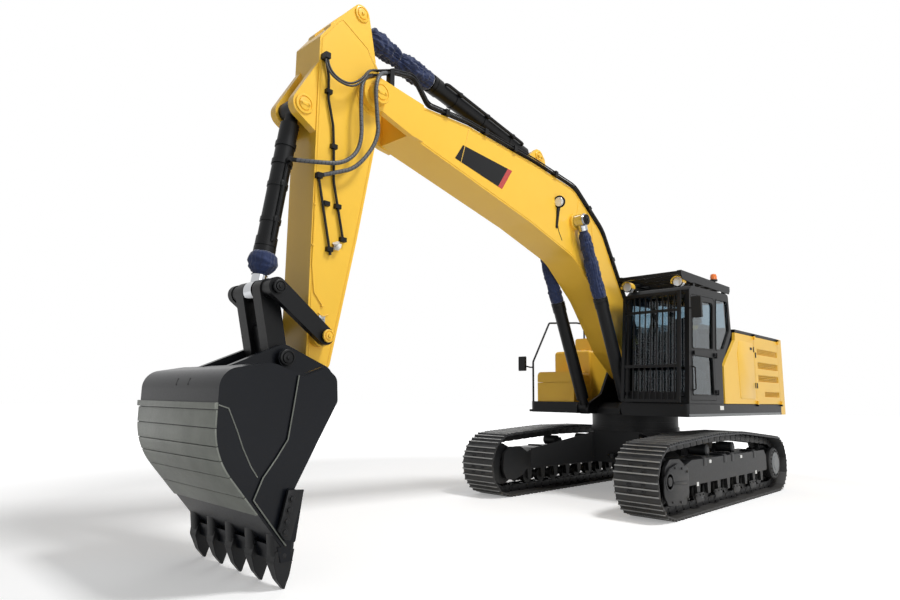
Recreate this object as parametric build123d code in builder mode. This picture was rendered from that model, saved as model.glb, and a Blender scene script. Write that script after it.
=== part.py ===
from build123d import *
import os
from math import atan2, cos, hypot, pi, sin

# Crawler excavator, millimetres. +X points ahead along the boom, +Y to the left, +Z up.
# Every piece is drawn from the swing axis, x = 0 and y = 0, with the ground at z = 0, and
# save() shifts it along X so that the row's origin is the middle of the footprint.
os.makedirs("parts", exist_ok=True)

# Undercarriage
gauge = 2590
shoe_width = 600
idler_x = 2065
sprocket_x = -2035
track_pitch_count = 49
pin_height = 106  # link pin line above the ground
grouser_height = 24
shoe_thickness = 14
rail_drop = 60  # from the pin line in to the rail the rollers run on
idler_pin_radius = 374
sprocket_pin_radius = 352
carrier_radius = 85
carrier_xs = (560, -440)
carrier_z = 790
roller_radius = 94
roller_count = 9
roller_first_x, roller_last_x = -1480, 1440
link_spacing = 190  # between the middles of the two link rails
link_width = 45
frame_low, frame_high = 372, 700
frame_inner, frame_outer = -195, 215  # from the track's middle, outward positive
bearing_low, bearing_high = 1060, 1150
bearing_radius = 690
spigot_radius = 560

# Upper structure
half_width = 1490
deck_low, deck_high = 1270, 1450
deck_top_plate = 55
skirt = 60
cab_front_x = 1310
right_front_x = 930
body_rear_x = -2720
tail_side_x, tail_mid_x = -2990, -3450
body_high = 2650
panel = 45
panel_split_x = -1460
wall_y = 890
door_gap = 8

# Cab
cab_inner_y, cab_outer_y = 505, 1485
cab_wall = 55
guard_low, guard_high = 3265, 3330

# Boom, arm and bucket pins, (x, z)
foot_pin = (120, 1950)
cylinder_base_pin = (930, 1360)
boom_cylinder_pin = (2160, 4080)
arm_cylinder_base_pin = (2900, 4900)
boom_tip_pin = (5980, 4640)
arm_cylinder_pin = (6150, 5530)
bucket_cylinder_base_pin = (6800, 4270)
rocker_pin = (6540, 2030)
link_pin = (7070, 2420)
bucket_link_pin = (6930, 1810)
bucket_pin = (6535, 1630)
tooth_tip_x = 7055

# Widths across the machine, each from its middle plane
boom_half = 255
boom_cylinder_y = 376
arm_half = 215
fork_inner, fork_outer = 228, 298
rocker_inner, rocker_outer = 305, 371
bucket_half = 740
bucket_reach_x = 7725

# Pins and fits
pin_fit = 0.08  # radial running clearance of each pin
side_gap = 6
big_pin, small_pin = 55, 45

frame_shift = -(bucket_reach_x + tail_mid_x) / 2


def save(piece, name):
    """Writes one sub-part in the row's frame."""
    placed = piece.part.moved(Location((frame_shift, 0, 0)))
    placed.label = name
    export_step(placed, f"parts/{name}.step")


def outline(rows):
    """Closed flat outline in XZ from rows of (x, z, corner radius)."""
    with BuildSketch(Plane.XZ) as flat:
        with BuildLine():
            Polyline(*[(x, z) for x, z, _ in rows], close=True)
        make_face()
        for x, z, corner in rows:
            if corner:
                fillet(flat.vertices().sort_by_distance((x, z, 0))[0], corner)
    return flat.sketch


def slab(rows, y_low, y_high, mode=Mode.ADD):
    """Side outline, rows of (x, z) or (x, z, corner radius), as thick as y_low to y_high."""
    full = [(*row, 0)[:3] for row in rows]
    face = outline(full).moved(Location((0, y_high, 0)))
    extrude(face, amount=y_high - y_low, mode=mode)


def plan(rows, z_low, z_high, mode=Mode.ADD):
    """Plan outline, rows of (x, y) or (x, y, corner radius), from z_low up to z_high."""
    with BuildSketch(Plane.XY.offset(z_low)) as flat:
        with BuildLine():
            Polyline(*[row[:2] for row in rows], close=True)
        make_face()
        for row in rows:
            if len(row) > 2:
                fillet(flat.vertices().sort_by_distance((row[0], row[1], 0))[0], row[2])
    extrude(flat.sketch, amount=z_high - z_low, mode=mode)


def block(x_span, y_span, z_span, mode=Mode.ADD):
    """Box between two x, two y and two z."""
    middle = [(low + high) / 2 for low, high in (x_span, y_span, z_span)]
    size = [high - low for low, high in (x_span, y_span, z_span)]
    with Locations(tuple(middle)):
        Box(*size, mode=mode)


def bar(at, radius, y_low, y_high, mode=Mode.ADD):
    """Round bar along Y at (x, z)."""
    with BuildSketch(Plane((0, y_high, 0), x_dir=(1, 0, 0), z_dir=(0, -1, 0))) as disc:
        with Locations(at):
            Circle(radius)
    extrude(disc.sketch, amount=y_high - y_low, mode=mode)


def hull_plate(circles, y_low, y_high, mode=Mode.ADD):
    """Plate wrapped round circles of (x, z, radius)."""
    with BuildSketch(Plane((0, y_high, 0), x_dir=(1, 0, 0), z_dir=(0, -1, 0))) as flat:
        for x, z, radius in circles:
            with Locations((x, z)):
                Circle(radius)
        make_hull()
    extrude(flat.sketch, amount=y_high - y_low, mode=mode)


def along(start, end, distance):
    """The point at a distance from start towards end, both (x, z)."""
    length = hypot(end[0] - start[0], end[1] - start[1])
    share = distance / length
    return (start[0] + share * (end[0] - start[0]), start[1] + share * (end[1] - start[1]))


def shaft(start, end, y, radius, mode=Mode.ADD):
    """Round shaft in the plane y, from one (x, z) to another."""
    run = (end[0] - start[0], 0, end[1] - start[1])
    with BuildSketch(Plane((start[0], y, start[1]), x_dir=(0, 1, 0), z_dir=run)) as disc:
        Circle(radius)
    extrude(disc.sketch, amount=hypot(run[0], run[2]), mode=mode)


def tube(points, radius, corner):
    """Bent round tube through points, with one corner radius."""
    with BuildLine() as path:
        FilletPolyline(*points, radius=corner)
    start = path.line @ 0
    with BuildSketch(Plane(start, z_dir=path.line % 0)) as ring:
        Circle(radius)
    sweep(ring.sketch, path=path.line)


def stub(start, end, radius):
    """Round stub between two points."""
    run = tuple(e - s for s, e in zip(start, end))
    with BuildSketch(Plane(start, z_dir=run)) as disc:
        Circle(radius)
    extrude(disc.sketch, amount=hypot(*run))


def sleeve(base, eye, y, inner, rows):
    """Hollow turned sleeve round a cylinder's axis, from rows of (distance from base, outer radius)."""
    axis = (eye[0] - base[0], 0, eye[1] - base[1])
    with BuildSketch(Plane((base[0], y, base[1]), x_dir=axis, z_dir=(0, -1, 0))) as half:
        with BuildLine():
            Polyline((rows[0][0], inner), *rows, (rows[-1][0], inner), close=True)
        make_face()
    revolve(half.sketch, axis=Axis((base[0], y, base[1]), axis))


def inset(rows, distance):
    """The same open path moved to its left by a distance."""
    moved = []
    for n, (x, z, corner) in enumerate(rows):
        before = rows[max(n - 1, 0)], rows[max(n, 1)]
        after = rows[min(n, len(rows) - 2)], rows[min(n + 1, len(rows) - 1)]
        normals = []
        for (x1, z1, _), (x2, z2, _) in (before, after):
            length = hypot(x2 - x1, z2 - z1)
            normals.append((-(z2 - z1) / length, (x2 - x1) / length))
        scale = 1 + normals[0][0] * normals[1][0] + normals[0][1] * normals[1][1]
        shift = [distance * (normals[0][k] + normals[1][k]) / scale for k in (0, 1)]
        moved.append((x + shift[0], z + shift[1], max(corner - distance, 0)))
    return moved


def both_sides(y_low, y_high):
    """The two y spans of a pair of plates that mirror each other."""
    return ((y_low, y_high), (-y_high, -y_low))


# ---- Track loops -------------------------------------------------------------------------

def tangent_path(circles):
    """Line and arc pieces of a belt wrapped anticlockwise round (x, z, radius) circles."""
    pieces = []
    count = len(circles)
    angles = []
    for n in range(count):
        x1, z1, r1 = circles[n]
        x2, z2, r2 = circles[(n + 1) % count]
        length = hypot(x2 - x1, z2 - z1)
        heading = atan2(z2 - z1, x2 - x1)
        angles.append(heading - pi / 2 + atan2(r1 - r2, length))
    for n in range(count):
        x, z, radius = circles[n]
        start, end = angles[n - 1], angles[n]
        while end < start - 1e-9:
            end += 2 * pi
        pieces.append(("arc", (x, z, radius, start, end), radius * (end - start)))
        x2, z2, r2 = circles[(n + 1) % count]
        first = (x + radius * cos(end), z + radius * sin(end))
        last = (x2 + r2 * cos(end), z2 + r2 * sin(end))
        pieces.append(("line", (*first, *last), hypot(last[0] - first[0], last[1] - first[1])))
    return pieces


def path_point(pieces, distance):
    """The point of the belt path at a distance along it."""
    for kind, values, length in pieces:
        if distance <= length:
            share = distance / length if length else 0
            if kind == "line":
                x1, z1, x2, z2 = values
                return (x1 + share * (x2 - x1), z1 + share * (z2 - z1))
            x, z, radius, start, end = values
            angle = start + share * (end - start)
            return (x + radius * cos(angle), z + radius * sin(angle))
        distance -= length
    return path_point(pieces, 0)


carrier_pin_radius = carrier_radius + rail_drop
track_path = tangent_path([
    (idler_x, pin_height + idler_pin_radius, idler_pin_radius),
    (carrier_xs[0], carrier_z, carrier_pin_radius),
    (carrier_xs[1], carrier_z, carrier_pin_radius),
    (sprocket_x, pin_height + sprocket_pin_radius, sprocket_pin_radius),
])
track_length = sum(length for _, _, length in track_path)
pins = [path_point(track_path, n * track_length / track_pitch_count) for n in range(track_pitch_count)]


def chord(n):
    """Start, length, direction and outward normal of link n."""
    (x1, z1), (x2, z2) = pins[n], pins[(n + 1) % track_pitch_count]
    length = hypot(x2 - x1, z2 - z1)
    run = ((x2 - x1) / length, (z2 - z1) / length)
    return (x1, z1), length, run, (run[1], -run[0])


shoe_top = pin_height - grouser_height
shoe_bottom = shoe_top - shoe_thickness
# Triple grouser: share of the pitch at each rib's middle
grouser_shares = (0.09, 0.48, 0.87)
grouser_root, grouser_tip = 15, 5


def shoe_row(n):
    """Outer outline of shoe n, from its leading edge to its trailing edge."""
    start, length, run, normal = chord(n)

    def at(s, h):
        return (start[0] + s * run[0] + h * normal[0], start[1] + s * run[1] + h * normal[1])

    row = [at(1, shoe_top - 8)]
    for share in grouser_shares:
        middle = share * length
        row += [at(middle - grouser_root, shoe_top), at(middle, pin_height), at(middle + grouser_root, shoe_top)]
    row.append(at(length - 1, shoe_top))
    return row


def pin_offset(n, height):
    """Point on the mitre between links n-1 and n, at a height outward from the pin line."""
    _, _, run_a, normal_a = chord(n - 1)
    _, _, run_b, normal_b = chord(n)
    bisector = (normal_a[0] + normal_b[0], normal_a[1] + normal_b[1])
    size = hypot(*bisector)
    reach = height / (size / 2)
    return (pins[n][0] + reach * bisector[0] / size, pins[n][1] + reach * bisector[1] / size)


def turning(n):
    """Whether the loop turns at pin n."""
    _, _, run_a, _ = chord(n - 1)
    _, _, run_b, _ = chord(n)
    return abs(run_a[0] * run_b[1] - run_a[1] * run_b[0]) > 1e-3


bends = [n for n in range(track_pitch_count) if turning(n)]


def ring(outer, inner, y_low, y_high):
    """Closed belt between an outer and an inner outline."""
    slab(outer, y_low, y_high)
    slab(inner, y_low, y_high, mode=Mode.SUBTRACT)


for side, sign in (("left", 1), ("right", -1)):
    middle = sign * gauge / 2
    with BuildPart() as track:
        shoe_line = [point for n in range(track_pitch_count) for point in shoe_row(n)]
        inside = [pin_offset(n, shoe_bottom) for n in bends]
        ring(shoe_line, inside, middle - shoe_width / 2, middle + shoe_width / 2)
        for rail in (-1, 1):
            rail_y = middle + rail * link_spacing / 2
            with BuildPart(mode=Mode.PRIVATE) as link:
                ring(inside, [pin_offset(n, -rail_drop) for n in bends],
                     rail_y - link_width / 2, rail_y + link_width / 2)
            add(link.part)
    save(track, f"track_{side}")


# ---- Wheels inside the tracks ------------------------------------------------------------

def wheel(at, middle, rows):
    """Turned wheel on Y at (x, z), from rows of (distance out from the track's middle, radius)."""
    plane = Plane((at[0], middle, at[1]), x_dir=(0, 1, 0), z_dir=(1, 0, 0))
    with BuildSketch(plane) as half:
        with BuildLine():
            Polyline((rows[0][0], 0), *rows, (rows[-1][0], 0), close=True)
        make_face()
    revolve(half.sketch, axis=Axis((at[0], middle, at[1]), (0, 1, 0)))


idler_axle = (idler_x, pin_height + idler_pin_radius)
link_pitch = track_length / track_pitch_count
idler_radius = (idler_pin_radius**2 - (link_pitch / 2) ** 2) ** 0.5 - rail_drop - 1
sprocket_axle = (sprocket_x, pin_height + sprocket_pin_radius)
rail_inner = link_spacing / 2 - link_width / 2
yoke_inner, yoke_outer = 165, 205
idler_half = [(yoke_inner, 60), (120, 60), (120, idler_radius - 60), (link_spacing / 2 + 24, idler_radius - 40),
              (link_spacing / 2 + 24, idler_radius), (rail_inner - 12, idler_radius), (rail_inner - 16, idler_radius + 22)]


def mirrored_rows(half):
    """Rows of a wheel that is the same on both sides of its middle."""
    return [(-y, radius) for y, radius in half] + [(y, radius) for y, radius in reversed(half)]


with BuildPart() as idlers:
    for sign in (-1, 1):
        wheel(idler_axle, sign * gauge / 2, mirrored_rows(idler_half))
save(idlers, "idlers")

tooth_count = 21
sprocket_half = 34
drive_face, drive_radius = 238, 262
with BuildPart() as drives:
    for sign in (-1, 1):
        middle = sign * gauge / 2
        star = []
        for n in range(tooth_count):
            for share, radius in ((0.0, -46), (0.30, -46), (0.48, 14), (0.82, 14)):
                angle = 2 * pi * (n + share) / tooth_count
                reach = sprocket_pin_radius - 20 + radius
                star.append((sprocket_axle[0] + reach * cos(angle), sprocket_axle[1] + reach * sin(angle)))
        slab(star, middle - sprocket_half, middle + sprocket_half)
        hub = [(frame_inner + 30, 190), (sprocket_half, 190), (sprocket_half, 250), (150, 250), (160, drive_radius),
               (215, drive_radius), (drive_face, drive_radius - 24)]
        wheel(sprocket_axle, middle, [(sign * y, radius) for y, radius in hub])
save(drives, "final_drives")

roller_pitch = (roller_last_x - roller_first_x) / (roller_count - 1)
roller_xs = [roller_first_x + n * roller_pitch for n in range(roller_count)]
rail_level = pin_height + rail_drop
rollers_z = rail_level + roller_radius
bracket_inner, bracket_outer = 150, 186
roller_half = [(bracket_inner, 34), (138, 34), (138, roller_radius + 18), (122, roller_radius + 18),
               (120, roller_radius), (52, roller_radius), (46, 62)]
with BuildPart() as rollers:
    for sign in (-1, 1):
        for x in roller_xs:
            wheel((x, rollers_z), sign * gauge / 2, mirrored_rows(roller_half))
save(rollers, "track_rollers")

carrier_half = 118
carrier_post = (-175, -135)  # across the track, inward of the roller
with BuildPart() as carriers:
    for sign in (-1, 1):
        for x in carrier_xs:
            rows = [(carrier_post[1], 40), (-carrier_half, 40), (-carrier_half, carrier_radius - 6), (carrier_half, carrier_radius - 6),
                    (carrier_half + 14, 50)]
            wheel((x, carrier_z), sign * gauge / 2, [(sign * y, radius) for y, radius in rows])
save(carriers, "carrier_rollers")

# ---- Track frames and centre frame -------------------------------------------------------

frame_side = [(-1655, frame_low, 30), (-1655, 600, 30), (-1560, frame_high, 40), (1330, frame_high, 60),
              (1600, 630, 40), (1600, frame_low, 30)]
yoke_side = [(1540, 385), (1540, 655), (1700, 735, 60), (1980, 745, 90), (2130, 640, 90), (2150, 400, 90),
             (2060, 250, 90), (1850, 235, 90), (1640, 300, 60)]
motor_side = 240
for side, sign in (("left", 1), ("right", -1)):
    middle = sign * gauge / 2

    def across(low, high):
        """Y span from distances outward of the track's middle."""
        return sorted((middle + sign * low, middle + sign * high))

    with BuildPart() as frame:
        slab(frame_side, *across(frame_inner, frame_outer))
        for low, high in ((yoke_inner, yoke_outer), (-yoke_outer, -yoke_inner)):
            slab(yoke_side, *across(low, high))
        block((1530, 1700), across(-yoke_inner, yoke_inner), (420, 640))
        hull_plate([(*sprocket_axle, motor_side), (-1600, 480, 100)], *across(frame_inner, frame_inner + 30))
        for x in roller_xs:
            for low, high in ((bracket_inner, bracket_outer), (-bracket_outer, -bracket_inner)):
                slab([(x - 62, frame_low), (x + 62, frame_low), (x + 40, rollers_z - 46, 14), (x - 40, rollers_z - 46, 14)],
                     *across(low, high))
        for x in carrier_xs:
            slab([(x - 110, frame_high), (x - 45, carrier_z + 50, 20), (x + 45, carrier_z + 50, 20), (x + 110, frame_high)],
                 *across(*carrier_post))
    save(frame, f"track_frame_{side}")

centre_x, centre_y = 640, 620
leg_y = gauge / 2 + frame_inner
with BuildPart() as centre_frame:
    plan([(centre_x, -400), (centre_x, 400), (400, centre_y), (-400, centre_y), (-centre_x, 400), (-centre_x, -400),
          (-400, -centre_y), (400, -centre_y)], 500, 1000)
    with Locations((0, 0, (1000 + bearing_low) / 2)):
        Cylinder(bearing_radius + 15, bearing_low - 1000)
    for sign_x in (-1, 1):
        for sign_y in (-1, 1):
            # (y, nearest x, farthest x, bottom z, top z) of the leg's two ends
            ends = ((380, 150, 600, 500, 985), (leg_y, 760, 1420, 400, 690))
            with BuildPart(mode=Mode.PRIVATE) as leg:
                for y, x_low, x_high, z_low, z_high in ends:
                    with BuildSketch(Plane((0, sign_y * y, 0), x_dir=(1, 0, 0), z_dir=(0, -1, 0))):
                        with Locations((sign_x * (x_low + x_high) / 2, (z_low + z_high) / 2)):
                            Rectangle(x_high - x_low, z_high - z_low)
                loft()
            add(leg.part)
save(centre_frame, "centre_frame")

with BuildPart() as swing_bearing:
    with Locations((0, 0, (bearing_low + bearing_high) / 2)):
        Cylinder(bearing_radius, bearing_high - bearing_low)
        Cylinder(spigot_radius, bearing_high - bearing_low, mode=Mode.SUBTRACT)
save(swing_bearing, "swing_bearing")

# Towing eyes on the centre frame, fore and aft
eye_radius = 32
eye_thickness = 60
tow_low = 590
with BuildPart() as tow_eyes:
    for sign in (-1, 1):
        tip = sign * (centre_x + 110)
        with BuildSketch(Plane.XY.offset(tow_low)) as flat:
            for x, y, radius in ((tip, 0, 75), (sign * (centre_x + 30), 90, 30), (sign * (centre_x + 30), -90, 30)):
                with Locations((x, y)):
                    Circle(radius)
            make_hull()
            with Locations((tip, 0)):
                Circle(eye_radius, mode=Mode.SUBTRACT)
        extrude(flat.sketch, amount=eye_thickness)
save(tow_eyes, "tow_eyes")

# ---- Door hinges -------------------------------------------------------------------------

roof_z = body_high - panel
hinge_y = half_width + 20
hinge_pin, knuckle, lug_reach = 8, 16, 35
rear_hinge_x, front_hinge_x = body_rear_x + 15, panel_split_x + 20
door_hinges = ((front_hinge_x, 1), (rear_hinge_x, 1), (rear_hinge_x, -1))


def upright(x, y, radius, z_low, z_high, mode=Mode.ADD):
    """Round bar along Z at (x, y)."""
    with Locations((x, y, (z_low + z_high) / 2)):
        Cylinder(radius, z_high - z_low, mode=mode)


def hinge_lugs(z_low, z_high, pin_low, pin_high):
    """Lug and pin of every side door at one level."""
    for x, sign in door_hinges:
        block((x - 15, x + 15), sorted((sign * half_width, sign * (half_width + lug_reach))), (z_low, z_high))
        upright(x, sign * hinge_y, hinge_pin, pin_low, pin_high)


def knuckles(x, sign):
    """Both knuckles of a side door, bored for their pins."""
    for z_low, z_high in ((deck_high + 0.3, deck_high + 60), (roof_z - 60, roof_z - 0.3)):
        upright(x, sign * hinge_y, knuckle, z_low, z_high)
        block((x - 7, x + 10), sorted((sign * (half_width - 5), sign * hinge_y)),
              (max(z_low, deck_high + door_gap), min(z_high, roof_z - door_gap)))
        upright(x, sign * hinge_y, hinge_pin + pin_fit, z_low - 1, z_high + 1, mode=Mode.SUBTRACT)


# ---- Revolving deck ----------------------------------------------------------------------

bracket_in, bracket_out = boom_half + side_gap, boom_half + side_gap + 38
lug_inner = (boom_cylinder_y - 70 - side_gap - 30, boom_cylinder_y - 70 - side_gap)
lug_outer = (boom_cylinder_y + 70 + side_gap, boom_cylinder_y + 70 + side_gap + 28)
well_x = 760
well_y = 484
well_slope = (560, 1357)  # x where the boom's relief starts, and its lowest z
with BuildPart() as deck:
    plan([(cab_front_x, well_y), (cab_front_x, half_width, 40), (body_rear_x, half_width), (body_rear_x, -half_width),
          (right_front_x, -half_width, 120), (right_front_x, -well_y), (well_x, -well_y), (well_x, well_y)],
         deck_high - deck_top_plate, deck_high)
    for sign, front in ((1, cab_front_x - 200), (-1, right_front_x - 120)):
        ys = sorted((sign * half_width, sign * (half_width - skirt)))
        block((body_rear_x, front), ys, (deck_low, deck_high - deck_top_plate))
    plan([(cab_front_x, well_y), (cab_front_x, half_width, 40), (cab_front_x - 200, half_width),
          (cab_front_x - 200, well_y)], deck_low, deck_high - deck_top_plate)
    plan([(right_front_x, -well_y), (right_front_x, -half_width, 120), (right_front_x - 200, -half_width),
          (right_front_x - 200, -well_y)], deck_low, deck_high - deck_top_plate)
    block((body_rear_x, well_x), (-well_y, well_y), (deck_low, deck_high - deck_top_plate))
    slab([(well_slope[0], deck_high + 1), (well_x + 1, deck_high + 1), (well_x + 1, well_slope[1])],
         -bracket_in, bracket_in, mode=Mode.SUBTRACT)
    with Locations((0, 0, (bearing_high + 0.3 + deck_low) / 2)):
        Cylinder(bearing_radius, deck_low - bearing_high - 0.3)
    with Locations((0, 0, bearing_high - 20)):
        Cylinder(spigot_radius - pin_fit, 90)
    for low, high in both_sides(bracket_in, bracket_out):
        slab([(-560, deck_low), (-560, deck_high + 20), (-120, 2080, 130), (250, 2110, 150), (600, 1590, 60),
              (975, 1440, 90), (1060, 1300, 60), (1000, deck_low)], low, high)
        bar(foot_pin, big_pin + pin_fit, low, high, mode=Mode.SUBTRACT)
    for low, high in both_sides(*lug_outer):
        slab([(690, deck_low), (690, deck_high), (930, 1470, 90), (1050, 1400, 60), (1050, deck_low, 20)], low, high)
    for low, high in both_sides(bracket_out - 1, lug_outer[0] + 1):
        bar(cylinder_base_pin, small_pin, low, high)
        block((690, 760), (low, high), (deck_low, deck_high))
    block((-560, -500), (-bracket_in, bracket_in), (deck_high, 1900))
    hinge_lugs(deck_high - 30, deck_high, deck_high - 1, deck_high + 50)
save(deck, "main_deck")

# ---- Counterweight, bays, tanks ----------------------------------------------------------

tail_low = deck_low
tail_flat_x = tail_side_x + 40
with BuildPart() as counterweight:
    with BuildSketch(Plane.XY.offset(tail_low)) as tail:
        with BuildLine():
            Line((body_rear_x, half_width), (tail_side_x, half_width))
            ThreePointArc((tail_side_x, half_width), (tail_mid_x, 0), (tail_side_x, -half_width))
            Line((tail_side_x, -half_width), (body_rear_x, -half_width))
            Line((body_rear_x, -half_width), (body_rear_x, half_width))
        make_face()
        fillet(tail.vertices().group_by(Axis.X)[0], 90)
    extrude(tail.sketch, amount=body_high - tail_low)
    slab([(tail_mid_x - 60, body_high + 1), (tail_flat_x, body_high + 1), (tail_flat_x, body_high), (tail_mid_x - 60, 2330)],
         -half_width - 10, half_width + 10, mode=Mode.SUBTRACT)
    slab([(tail_mid_x - 60, tail_low - 10), (tail_mid_x + 190, tail_low - 10), (tail_mid_x - 60, 1720)],
         -half_width - 10, half_width + 10, mode=Mode.SUBTRACT)
save(counterweight, "counterweight")

lift_x = body_rear_x - 130
with BuildPart() as lifting_eyes:
    for sign in (-1, 1):
        ys = sorted((sign * 600, sign * (600 + eye_thickness)))
        hull_plate([(lift_x, body_high + 70, 62), (lift_x - 70, body_high + 20, 20), (lift_x + 70, body_high + 20, 20)], *ys)
        bar((lift_x, body_high + 70), eye_radius, *ys, mode=Mode.SUBTRACT)
save(lifting_eyes, "lifting_eyes")

hood_pivot = (-850, 2650)
hood_lug, hood_arm = (440, 470), (474, 504)

# Left bay outline, rows of (x, z): its front edge follows the back of the cab
bay_front = [(-30, deck_high), (-45, 2030), (-575, 2475), (-590, body_high)]
bay_wall = 30
with BuildPart() as bays:
    inner_front = [(x - bay_wall, z) for x, z in reversed(bay_front[:3])]
    slab([*bay_front[:3], (-590, roof_z), (-590 - bay_wall, roof_z), *inner_front], 520, half_width - panel - door_gap)
    for sign, front in ((1, -640), (-1, -895)):
        ys = sorted((sign * wall_y, sign * (wall_y + bay_wall)))
        block((body_rear_x, front), ys, (deck_high, roof_z))
        ys = sorted((sign * (wall_y + bay_wall - 1), sign * half_width))
        block((body_rear_x, -600 if sign > 0 else panel_split_x + 10), ys, (roof_z, body_high))
        ys = sorted((sign * (wall_y + bay_wall), sign * (half_width - panel - door_gap)))
        block((panel_split_x - 15, panel_split_x + 15), ys, (deck_high, roof_z))
    block((body_rear_x, body_rear_x + bay_wall), (-half_width + panel + door_gap, half_width - panel - door_gap), (deck_high, roof_z))
    block((-895, -895 + bay_wall), (-wall_y - bay_wall, 520), (deck_high, roof_z))
    block((-867, -600), (520, wall_y + bay_wall), (roof_z - 1, body_high))
    block((-867, -600), (520, 520 + bay_wall), (deck_high, roof_z))
    hinge_lugs(roof_z, roof_z + 30, roof_z - 50, roof_z + 1)
    for low, high in both_sides(*hood_lug):
        slab([(-866, 2540), (-866, 2672), (-832, 2672, 14), (-832, 2600)], low, high)
    for low, high in both_sides(hood_lug[0] + 1, hood_arm[1]):
        bar(hood_pivot, hinge_pin + 2, low, high)
save(bays, "engine_bay")

with BuildPart() as engine:
    block((-2450, -1250), (-560, 480), (deck_high, 2350))
    block((-2300, -1500), (-420, 340), (2350, 2500))
save(engine, "engine")

with BuildPart() as cooler:
    block((-2640, -1560), (wall_y + bay_wall, 1180), (deck_high, 2520))
save(cooler, "cooling_pack")

tank_y = (-1360, -620)
with BuildPart() as fuel_tank:
    block((-560, 340), tank_y, (deck_high, 2340))
    fillet(fuel_tank.edges().filter_by(Axis.X).group_by(Axis.Z)[-1], 60)
    fillet(fuel_tank.edges().filter_by(Axis.Z), 40)
    with Locations((-250, -1150, 2370)):
        Cylinder(70, 70)
save(fuel_tank, "fuel_tank")

with BuildPart() as oil_tank:
    block((panel_split_x + 20, -570), (-half_width, -wall_y - 40), (deck_high, body_high))
    fillet(oil_tank.edges().filter_by(Axis.X).group_by(Axis.Z)[-1], 50)
    with Locations((-800, -1150, body_high + 25)):
        Cylinder(90, 60)
save(oil_tank, "hydraulic_tank")

box_x, box_y = (385, 900), (-1330, -600)
box_split, box_top = 1770, 1950
lid_back = box_x[0] + 8
lid_pivot = (box_x[0] - 13, box_top + 12)
lid_lugs = ((-1180, -1130), (-800, -750))
with BuildPart() as toolbox:
    block(box_x, box_y, (deck_high, box_split))
    block((box_x[0] + 12, box_x[1] - 12), (box_y[0] + 12, box_y[1] - 12), (deck_high + 12, box_split + 1), mode=Mode.SUBTRACT)
    for low, high in lid_lugs:
        slab([(box_x[0] - 28, 1690), (box_x[0] - 28, box_top + 28, 11), (box_x[0] - 1, box_top + 28, 11), (box_x[0] - 1, box_split - 5),
              (box_x[0] + 1, box_split - 5), (box_x[0] + 1, 1690)], low, high)
        bar(lid_pivot, hinge_pin, low + 1, high + 44)
save(toolbox, "toolbox")

with BuildPart() as toolbox_lid:
    block((lid_back, box_x[1]), box_y, (box_split + 5, box_top))
    fillet(toolbox_lid.edges().filter_by(Axis.X).group_by(Axis.Z)[-1], 70)
    block((lid_back + 12, box_x[1] - 12), (box_y[0] + 12, box_y[1] - 12), (box_split, box_top - 75), mode=Mode.SUBTRACT)
    for _, high in lid_lugs:
        hull_plate([(*lid_pivot, 14), (lid_back + 40, box_top - 20, 14)], high + 4, high + 44)
        bar(lid_pivot, hinge_pin + pin_fit, high + 3, high + 45, mode=Mode.SUBTRACT)
save(toolbox_lid, "toolbox_lid")

# ---- Doors and hood ----------------------------------------------------------------------

door_low, door_high = deck_high + door_gap, roof_z - door_gap
vent_rows = ((2300, 2400), (2060, 2170), (1840, 1950), (1580, 1670))
vent_depth = 30


def vents(x_low, x_high, sign):
    """Louvre recesses in a side door."""
    for z_low, z_high in vent_rows:
        front = x_high if z_low > 1600 else x_high - 290
        ys = sorted((sign * (half_width + 1), sign * (half_width - vent_depth)))
        block((x_low, front), ys, (z_low, z_high), mode=Mode.SUBTRACT)


def door_span(sign):
    """Y span of a side door's skin."""
    return sorted((sign * (half_width - panel), sign * half_width))


with BuildPart() as left_front_door:
    slab([(x - door_gap, z) for x, z in bay_front[:3]][1:] + [(-598, door_high), (panel_split_x + 4, door_high),
         (panel_split_x + 4, door_low), (bay_front[0][0] - door_gap, door_low)], *door_span(1))
    knuckles(front_hinge_x, 1)
save(left_front_door, "left_front_door")

for side, sign in (("left", 1), ("right", -1)):
    with BuildPart() as door:
        ys = door_span(sign)
        block((body_rear_x + door_gap, panel_split_x - 4), ys, (door_low, door_high))
        vents(-2660, -1590, sign)
        knuckles(rear_hinge_x, sign)
    save(door, f"{side}_rear_door")

hood_x, hood_y = (-2702, -875), wall_y + 22
hood_low = roof_z + 5
hood_wall, hood_rise = 40, 205
with BuildPart() as hood:
    with BuildSketch(Plane.XY.offset(hood_low)) as base:
        with Locations(((hood_x[0] + hood_x[1]) / 2, 0)):
            RectangleRounded(hood_x[1] - hood_x[0], 2 * hood_y, 120)
    extrude(base.sketch, amount=hood_rise, taper=22)
    with BuildSketch(Plane.XY.offset(hood_low - 1)) as hollow:
        with Locations(((hood_x[0] + hood_x[1]) / 2, 0)):
            RectangleRounded(hood_x[1] - hood_x[0] - 2 * hood_wall, 2 * (hood_y - hood_wall), 80)
    extrude(hollow.sketch, amount=hood_rise - hood_wall, taper=22, mode=Mode.SUBTRACT)
    for low, high in both_sides(*hood_arm):
        hull_plate([(*hood_pivot, 20), (-912, 2650, 20)], low, high)
        bar(hood_pivot, hinge_pin + 2 + pin_fit, low - 1, high + 1, mode=Mode.SUBTRACT)
save(hood, "engine_hood")

# ---- Cab ---------------------------------------------------------------------------------

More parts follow.
